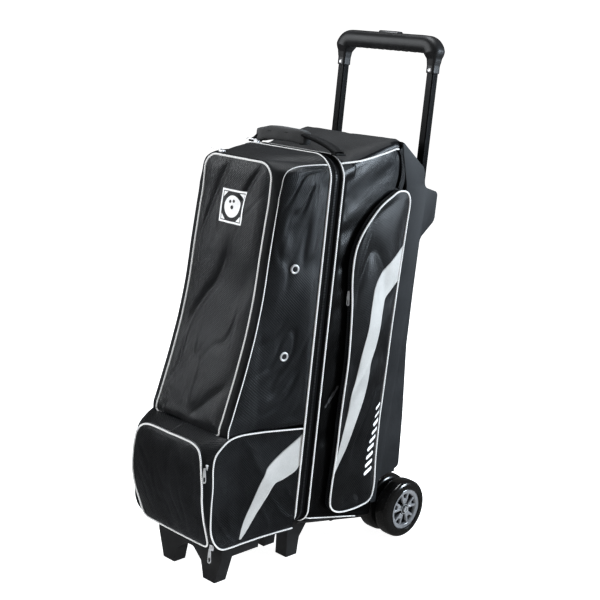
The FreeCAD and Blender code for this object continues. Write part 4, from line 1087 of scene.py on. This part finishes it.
def base_shape(co):
    """The rear base drawn up under the cloth; its feet flare out of it."""
    x, y, z = np.array(co) / MM
    top = np.interp(y, [-40, 158], [91.4, 52.4])
    if abs(x) > 100 and y < 159:
        x = math.copysign(114.0 if z > top - 3 else 108.0, x)
        z = z if z > top - 3 else top - 8
    elif abs(x) < 84 and y < 20 and 45 < z < 60:
        y = y if y < 0 else y + 9
        z = np.interp(y, [-40, 158], [91.4, 52.4]) - 8      # under the cloth at the depth moved to
    elif abs(x) < 84 and -20 < y < 5 and 20 < z < 45:
        y, z = y + 1, z + 7
    return Vector(level([x, y, z]))


def build_mouldings():
    softened("back_panel", "rear_body", "panel_plastic", PANEL_PLASTIC, 1.4, roof_shape, 8.0)
    softened("tube_bracket_left", "rear_body", "panel_plastic", PANEL_PLASTIC, 1.4)
    softened("tube_bracket_right", "rear_body", "panel_plastic", PANEL_PLASTIC, 1.4)
    softened("rear_base", "rear_body", "base_plastic", BASE_PLASTIC, 1.6, base_shape)
    softened("front_base", "front_door", "base_plastic", BASE_PLASTIC, 1.8)
    softened("release_button", "release", "button_plastic", BUTTON_PLASTIC, 1.2)


GRIP_LINE = [(-123.5, 1005), (-123.5, 1022), (-123.5, 1036), (-120.5, 1050), (-111, 1059.5),
             (-97, 1061.5), (-60, 1061.5), (0, 1061.5)]
GRIP_Y = 194.4


def build_grip():
    half = smooth(GRIP_LINE, steps=14)
    line = along(joined([half, (half * np.array([-1, 1]))[::-1]]), 240)
    rings = []
    for p, n in zip(line, -right_of(line)):
        t = float(np.interp(p[1], [1020, 1034, 1046], [0, 0.25, 1])) if abs(p[0]) > 112 else 1.0
        across = 10.4 + t * 7.8
        ring = superellipse(across, 11.5 + t * 8.0, 5.0 - 2.2 * t, 40)
        finger = 0.0
        if abs(p[0]) < 88:
            finger = 1.3 * (0.5 - 0.5 * math.cos(p[0] / 88 * math.pi * 8)) * (1 - (p[0] / 88) ** 8)
        low = ring[:, 0] * n[1] < 0
        ring[:, 0] = np.where(low & (t > 0.9), ring[:, 0] * (1 - finger / across), ring[:, 0])
        groove = np.exp(-(ring[:, 1] / 0.9) ** 2) * 0.5
        ring[:, 0] *= 1 - groove / across
        bulge = 1.6 * t * max(0.0, 1 - abs(abs(p[0]) - 126) / 16.0)
        xz = p + n * ring[:, :1] * (1 + bulge / across)
        rings.append(np.column_stack([xz[:, 0], GRIP_Y + ring[:, 1], xz[:, 1]]))
    grid = lean(rings)
    obj = grid_mesh("grip_bar", grid, GRIP_PLASTIC, crossed(lengths(grid, 0), lengths(grid, 1)),
                    cols=True, caps=True)
    place(obj, "handle", "grip_plastic", "grip_front", "grip_rear")
    parts = []
    profile = [(-0.6, 0.3), (1.0, 0.3), (1.4, 1.6), (1.1, 3.0), (0.2, 4.2), (-0.6, 4.4)]
    for _, sign in SIDES:
        for back in (1, -1):
            rivet = lathe("r", profile, NICKEL, 0, 0, 0, 32)
            turn = Matrix.Rotation(-LEAN, 4, "X") @ Matrix.Rotation(math.radians(90 * back), 4, "Z")
            centre = lean([sign * 123.5, GRIP_Y + back * 11.6, 1011])
            rivet.data.transform(Matrix.Translation(Vector(centre)) @ turn)
            parts.append(rivet)
    merged("grip_rivet_heads", parts, "handle", "steel", "grip_rivets")


WHEEL_Y, WHEEL_Z = 233, 63.5
TREAD = [(19, 47), (19, 52), (18, 56.5), (15.8, 60.3), (12, 62.6), (8, 63.3)]      # (half width, radius)
RIM = [(16.5, 44), (17.4, 43.6), (17.6, 42.4), (17, 41), (17, 36.5), (16.1, 35), (12.5, 33.6), (7.5, 34.5)]
HUB = [(14.1, 4.2), (15.1, 6), (15.5, 9), (14.9, 12.4), (13.3, 14.0), (9.5, 14.4)]
HUB_RING = [(13.5, 9.8), (16.1, 9.4), (16.7, 7.6), (16.1, 5.0), (13.5, 4.6)]


def symmetric(profile, middle=()):
    """A wheel's profile from its left side over to its right side."""
    return [(-v, r) for v, r in profile] + list(middle) + profile[::-1]


def build_wheel(name, body, x, out):
    """out is +1 where the hub cap looks towards +X."""
    y, z = WHEEL_Y, WHEEL_Z

    def turned(part, profile, look, segments=64):
        return lathe(part, profile, look, x, y, z, segments)

    tread = symmetric(TREAD, [(0, 63.5)]) + [(17.6, 44.2), (-17.6, 44.2)]
    place(turned(name + "_tyre_skin", smooth(tread, closed=True, steps=4), TYRE_BLACK, 128),
          body, "tyre", "tyre_" + name)
    parts = [turned("a", symmetric(RIM), RIM_GREY, 96), turned("b", symmetric(HUB), HUB_BLACK)]

    def spokes(radius, angle, inset, size, bevel, turn):
        for face in (-1, 1):
            centre = level([x + face * inset, y + radius * math.cos(angle), z + radius * math.sin(angle)])
            parts.append(block("s", centre, size, RIM_GREY, bevel, Matrix.Rotation(turn, 3, "X")))

    for k in range(5):
        middle = math.radians(72 * k + 90)
        for fork in (-1, 1):
            a0, a1 = middle + fork * math.radians(9), middle + fork * math.radians(16)
            p0 = np.array([12.0 * math.cos(a0), 12.0 * math.sin(a0)])
            p1 = np.array([36.0 * math.cos(a1), 36.0 * math.sin(a1)])
            step, centre = p1 - p0, (p0 + p1) / 2
            spokes(math.hypot(*centre), math.atan2(centre[1], centre[0]), 11.9,
                   (7.0, math.hypot(*step), 6.2), 1.9, math.atan2(step[1], step[0]))
        spokes(19.0, middle, 11.6, (6.6, 11.0, 8.0), 1.8, middle)
    parts.append(turned("d", [(-8.5, 14), (-8.5, 34.5), (8.5, 34.5), (8.5, 14)], HUB_BLACK))
    merged(name + "_rim_spokes", parts, body, "rim_plastic", "rim_" + name)
    place(turned(name + "_hub_ring", [(out * v, r) for v, r in HUB_RING], HUB_BLACK), body, "rim_plastic")


GRAB_Y = -52
GRAB_LINE = [(-118, 836), (-112, 839), (-104, 846), (-96, 853), (-80, 858), (-40, 861), (0, 861.5),
             (33, 860), (60, 855.5), (90, 848), (108, 841), (118, 836)]
GRAB_SECTION = [(-3.6, -9.6), (-4.2, -4), (-4.2, 4), (-3.6, 9.6), (0, 11.2), (3.4, 9.8), (4.4, 4),
                (4.4, -4), (3.4, -9.8), (0, -11.2)]


def build_strap():
    """The carry handle: folded webbing from anchor to anchor with a padded wrap in the middle."""
    line = along(smooth(GRAB_LINE), 120)
    rings = []
    for p, n in zip(line, -right_of(line)):
        wide = 1.0 + 0.2 * float(ease((abs(p[0] + 36) - 62) / 22))
        rings.append([(p[0] + n[0] * a, GRAB_Y + b * wide, p[1] + n[1] * a) for a, b in GRAB_SECTION])
    grid = lean(rings)
    obj = grid_mesh("grab_webbing_strap", grid, WEB, crossed(lengths(grid, 0), lengths(grid, 1)), cols=True)
    place(obj, "grab_handle", "webbing", "grab_webbing")

    xs = np.linspace(-106, 30, 90)
    rings = []
    for x, t in zip(xs, np.arange(len(xs)) / (len(xs) - 1)):
        end = min(1.0, 0.86 + 0.14 * min(t, 1 - t) * 14)
        ring = superellipse((11.5 + 0.5 * math.sin(x * 0.13 + 1)) * end,
                            (14.2 + 0.4 * math.sin(x * 0.09)) * end, 5.0, 44)
        mid = 857.5 - 0.0012 * (x + 30) ** 2 * 0.4 - 4.5 * float(ease((-66 - x) / 36))
        rings.append(np.column_stack([np.full(44, x), GRAB_Y + ring[:, 0],
                                      mid + ring[:, 1] - 0.010 * abs(x + 30)]))
    grid = np.array(rings)
    uv = grid_uv(grid * MM)
    grid[..., 2] += folds(uv, 71.0, 90, 0.03, 0.012) * 0.5
    wrap = grid_mesh("grab_wrap_pad", lean(grid), WRAP, uv, cols=True, caps=True)
    place(wrap, "grab_handle", "wrap_fabric", "grab_wrap")
    parts = []
    tilt = Matrix.Rotation(-LEAN, 3, "X")
    for _, sign in SIDES:
        parts.append(block("a", lean([sign * 117.0, GRAB_Y, 834.5]), (13, 28, 4.0), WEB, 1.2, tilt))
        for dy in (-6, 6):
            parts.append(block("b", lean([sign * 117.0, GRAB_Y + dy, 837.0]), (9, 1.4, 0.9), WRAP,
                               0.35, tilt))
    merged("grab_strap_ends", parts, "rear_body", "webbing", "grab_anchors")


PULL_SLOT = 7.5             # from the free end of a pull to the middle of its slot
PULL_THICK = 0.9            # half the thickness of a pull


def pull_rings(reach):
    """The closed lines of a pull with a slot near its free end: (points, height) round its section."""
    half = [(-reach + 3, 2.0), (-reach + 7, 2.6), (reach - 9, 3.4), (reach - 2.5, 3.4), (reach, 1.8)]
    outer = ([(-reach, -1.8)] + [(a, -b) for a, b in half] + half[::-1] + [(-reach, 1.8)])
    middle = np.array([reach - PULL_SLOT, 0])
    outer = along(smooth(outer, closed=True, steps=5), 72, closed=True)
    inner = superellipse(4.6, 1.7, 4, 72) + middle
    outer, inner = [line[np.argsort(np.arctan2(line[:, 1], line[:, 0] - middle[0]))]
                    for line in (outer, inner)]
    eased = outer + (middle - outer) * 0.04
    t = PULL_THICK
    return [(inner, t * 0.7), (inner, t), (eased, t), (outer, t * 0.5),
            (outer, -t * 0.5), (eased, -t), (inner, -t), (inner, -t * 0.7)]


def build_sliders():
    """Zipper sliders and their pulls."""
    for kind in ("ring", "cover", "corner_high", "corner_low", "pocket_left", "pocket_right"):
        low, high = [np.array(c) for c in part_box("slider_" + kind)]
        toward, size = (low + high) / 2, (high - low) / MM
        slider = block("zip_slider_%s_cast" % kind, toward, size * 1.05, NICKEL, min(size) * 0.3, segments=4)
        place(slider, "zip_slider_" + kind, "nickel", "slider_" + kind)
        low, high = [np.array(c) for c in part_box("pull_" + kind)]
        mid, size = (low + high) / 2, (high - low) / MM
        long, thin = int(np.argmax(size)), int(np.argmin(size))
        # the pull's own axes: towards its free end, across it and through it
        axis_l = np.eye(3)[long] * (1.0 if mid[long] > toward[long] else -1.0)
        axis_w, axis_t = np.eye(3)[3 - long - thin], np.eye(3)[thin]
        if kind.startswith("corner"):
            axis_t = np.array([math.sin(math.radians(40)), -math.cos(math.radians(40)), 0])
            axis_w = np.cross(axis_l, axis_t)
            mid = mid + axis_t * 3.6 * MM
        rings = pull_rings(size[long] / 2)
        grid = np.array([[mid + (axis_l * a + axis_w * b + axis_t * h) * MM for a, b in line]
                         for line, h in rings])
        faces = grid_faces(len(rings), 72, True, True)
        if np.linalg.det(np.array([axis_l, axis_w, axis_t])) < 0:
            faces = [f[::-1] for f in faces]
        pull = new_mesh("zip_pull_%s_cast" % kind, grid.reshape(-1, 3), faces, NICKEL)
        m = pull.modifiers.new("edges", "BEVEL")
        m.width, m.segments, m.limit_method = 0.25 * MM, 2, "ANGLE"
        place(pull, "zip_pull_" + kind, "nickel", "pull_" + kind)


def build_vents():
    """Two eyelets on each side of the door, with a fine mesh in them."""
    parts = []
    ring = [(-1.6, 5.6), (0.9, 5.4), (1.9, 6.2), (2.3, 7.4), (1.8, 8.7), (0.5, 9.4), (-1.6, 9.5)]
    for side, sign in SIDES:
        tree = surface_of(bpy.data.objects["upper_side_" + side])
        for y, z in ((-105, 627), (-115, 455)):
            hit, normal, _, _ = tree.ray_cast(Vector(level([sign * 180.0, y, z])), Vector((-sign, 0, 0)))
            if normal.x * sign < 0:
                normal = -normal
            eyelet = [lathe("v", ring, NICKEL, 0, 0, 0, 40)]
            for at in np.arange(-2, 3) * 2.1:
                wire = 2 * math.sqrt(max(0.5, 5.8 ** 2 - at ** 2))
                eyelet.append(block("g", level([0.2, at, 0]), (0.8, 0.7, wire), COIL, 0.2, segments=1))
                eyelet.append(block("g", level([0.2, 0, at]), (0.8, wire, 0.7), COIL, 0.2, segments=1))
            turn = normal.to_track_quat("X", "Z").to_matrix().to_4x4()
            for o in eyelet:
                o.data.transform(Matrix.Translation(hit) @ turn)
            parts += eyelet
    merged("vent_grommets", parts, "front_door", "eyelet", "vent_eyelets")


# ---------------------------------------------------------------- stage

def area(name, where, target, size, tall, power, tint=(0.94, 0.97, 1.0)):
    """A rectangular light."""
    data = bpy.data.lights.new(name, "AREA")
    data.energy, data.shape, data.size, data.size_y, data.color = power, "RECTANGLE", size, tall, tint
    obj = bpy.data.objects.new(name, data)
    obj.location = where
    obj.rotation_euler = (Vector(target) - Vector(where)).to_track_quat("-Z", "Y").to_euler()
    bpy.context.scene.collection.objects.link(obj)


def build_stage():
    pale = Graph("studio_floor").set(Base_Color=(0.9, 0.9, 0.9), Roughness=0.7, Specular_IOR_Level=0.1,
                                     Emission_Color=(1.0, 1.0, 1.0), Emission_Strength=0.8)
    floor = new_mesh("studio_floor", [(-60, -60, 0), (60, -60, 0), (60, 60, 0), (-60, 60, 0)],
                     [(0, 1, 2, 3)], pale)
    floor.visible_glossy = False
    scene = bpy.context.scene
    scene.world = bpy.data.worlds.new("studio")
    scene.world.use_nodes = True
    tree = scene.world.node_tree
    sky = tree.nodes["Background"]
    sky.inputs["Color"].default_value = (1, 1, 1, 1)
    rays = tree.nodes.new("ShaderNodeLightPath")
    strength = tree.nodes.new("ShaderNodeMapRange")
    strength.inputs["To Min"].default_value = 0.10      # the light that the sky gives
    strength.inputs["To Max"].default_value = 1.05      # how bright it looks
    tree.links.new(rays.outputs["Is Camera Ray"], strength.inputs["Value"])
    tree.links.new(strength.outputs["Result"], sky.inputs["Strength"])
    # name, place, target, width, height, watts
    area("key", (-1.8, -1.9, 1.5), (0, -0.1, 0.5), 0.7, 1.0, 34)
    area("side", (2.1, 1.75, 1.2), (0.1, 0, 0.55), 0.6, 1.2, 62, (0.80, 0.90, 1.0))
    area("top", (-0.2, 0.3, 3.0), (0, 0, 0.6), 1.6, 1.6, 50)

    camera = bpy.data.cameras.new("camera")
    camera.lens, camera.sensor_width, camera.clip_end = 74.28, 36, 60
    obj = bpy.data.objects.new("camera", camera)
    azimuth, elevation, roll = math.radians(44.45), math.radians(13.70), math.radians(3.07)
    back = Vector((math.sin(azimuth) * math.cos(elevation), -math.cos(azimuth) * math.cos(elevation),
                   math.sin(elevation)))
    right = Vector((math.cos(azimuth), math.sin(azimuth), 0))
    up = back.cross(right)
    across = right * math.cos(roll) + up * math.sin(roll)
    over = up * math.cos(roll) - right * math.sin(roll)
    obj.matrix_world = Matrix((across, over, back)).transposed().to_4x4()
    obj.location = (1.7369, -1.7247, 1.1240)
    scene.collection.objects.link(obj)
    bpy.context.scene.camera = obj
    scene.view_settings.view_transform = "Standard"
    scene.view_settings.look = "Medium High Contrast"


build_stage()
build_rear()
build_ring()
build_upper()
cover = build_cover()
pockets = build_pocket()
build_flap()
pads = {name: build_side_pocket(name, sign) for name, sign in SIDES}
for name, sign in SIDES:
    build_side_prints(name, sign, pads[name], pockets[name])
build_emblem(cover)
build_mouldings()
build_grip()
for name, x, out in (("right_outer", 151.5, 1), ("right_inner", 103, 1), ("left_outer", -151.5, -1),
                     ("left_inner", -103, -1)):
    build_wheel(name, "wheel_" + name, x, out)
build_strap()
build_sliders()
build_vents()
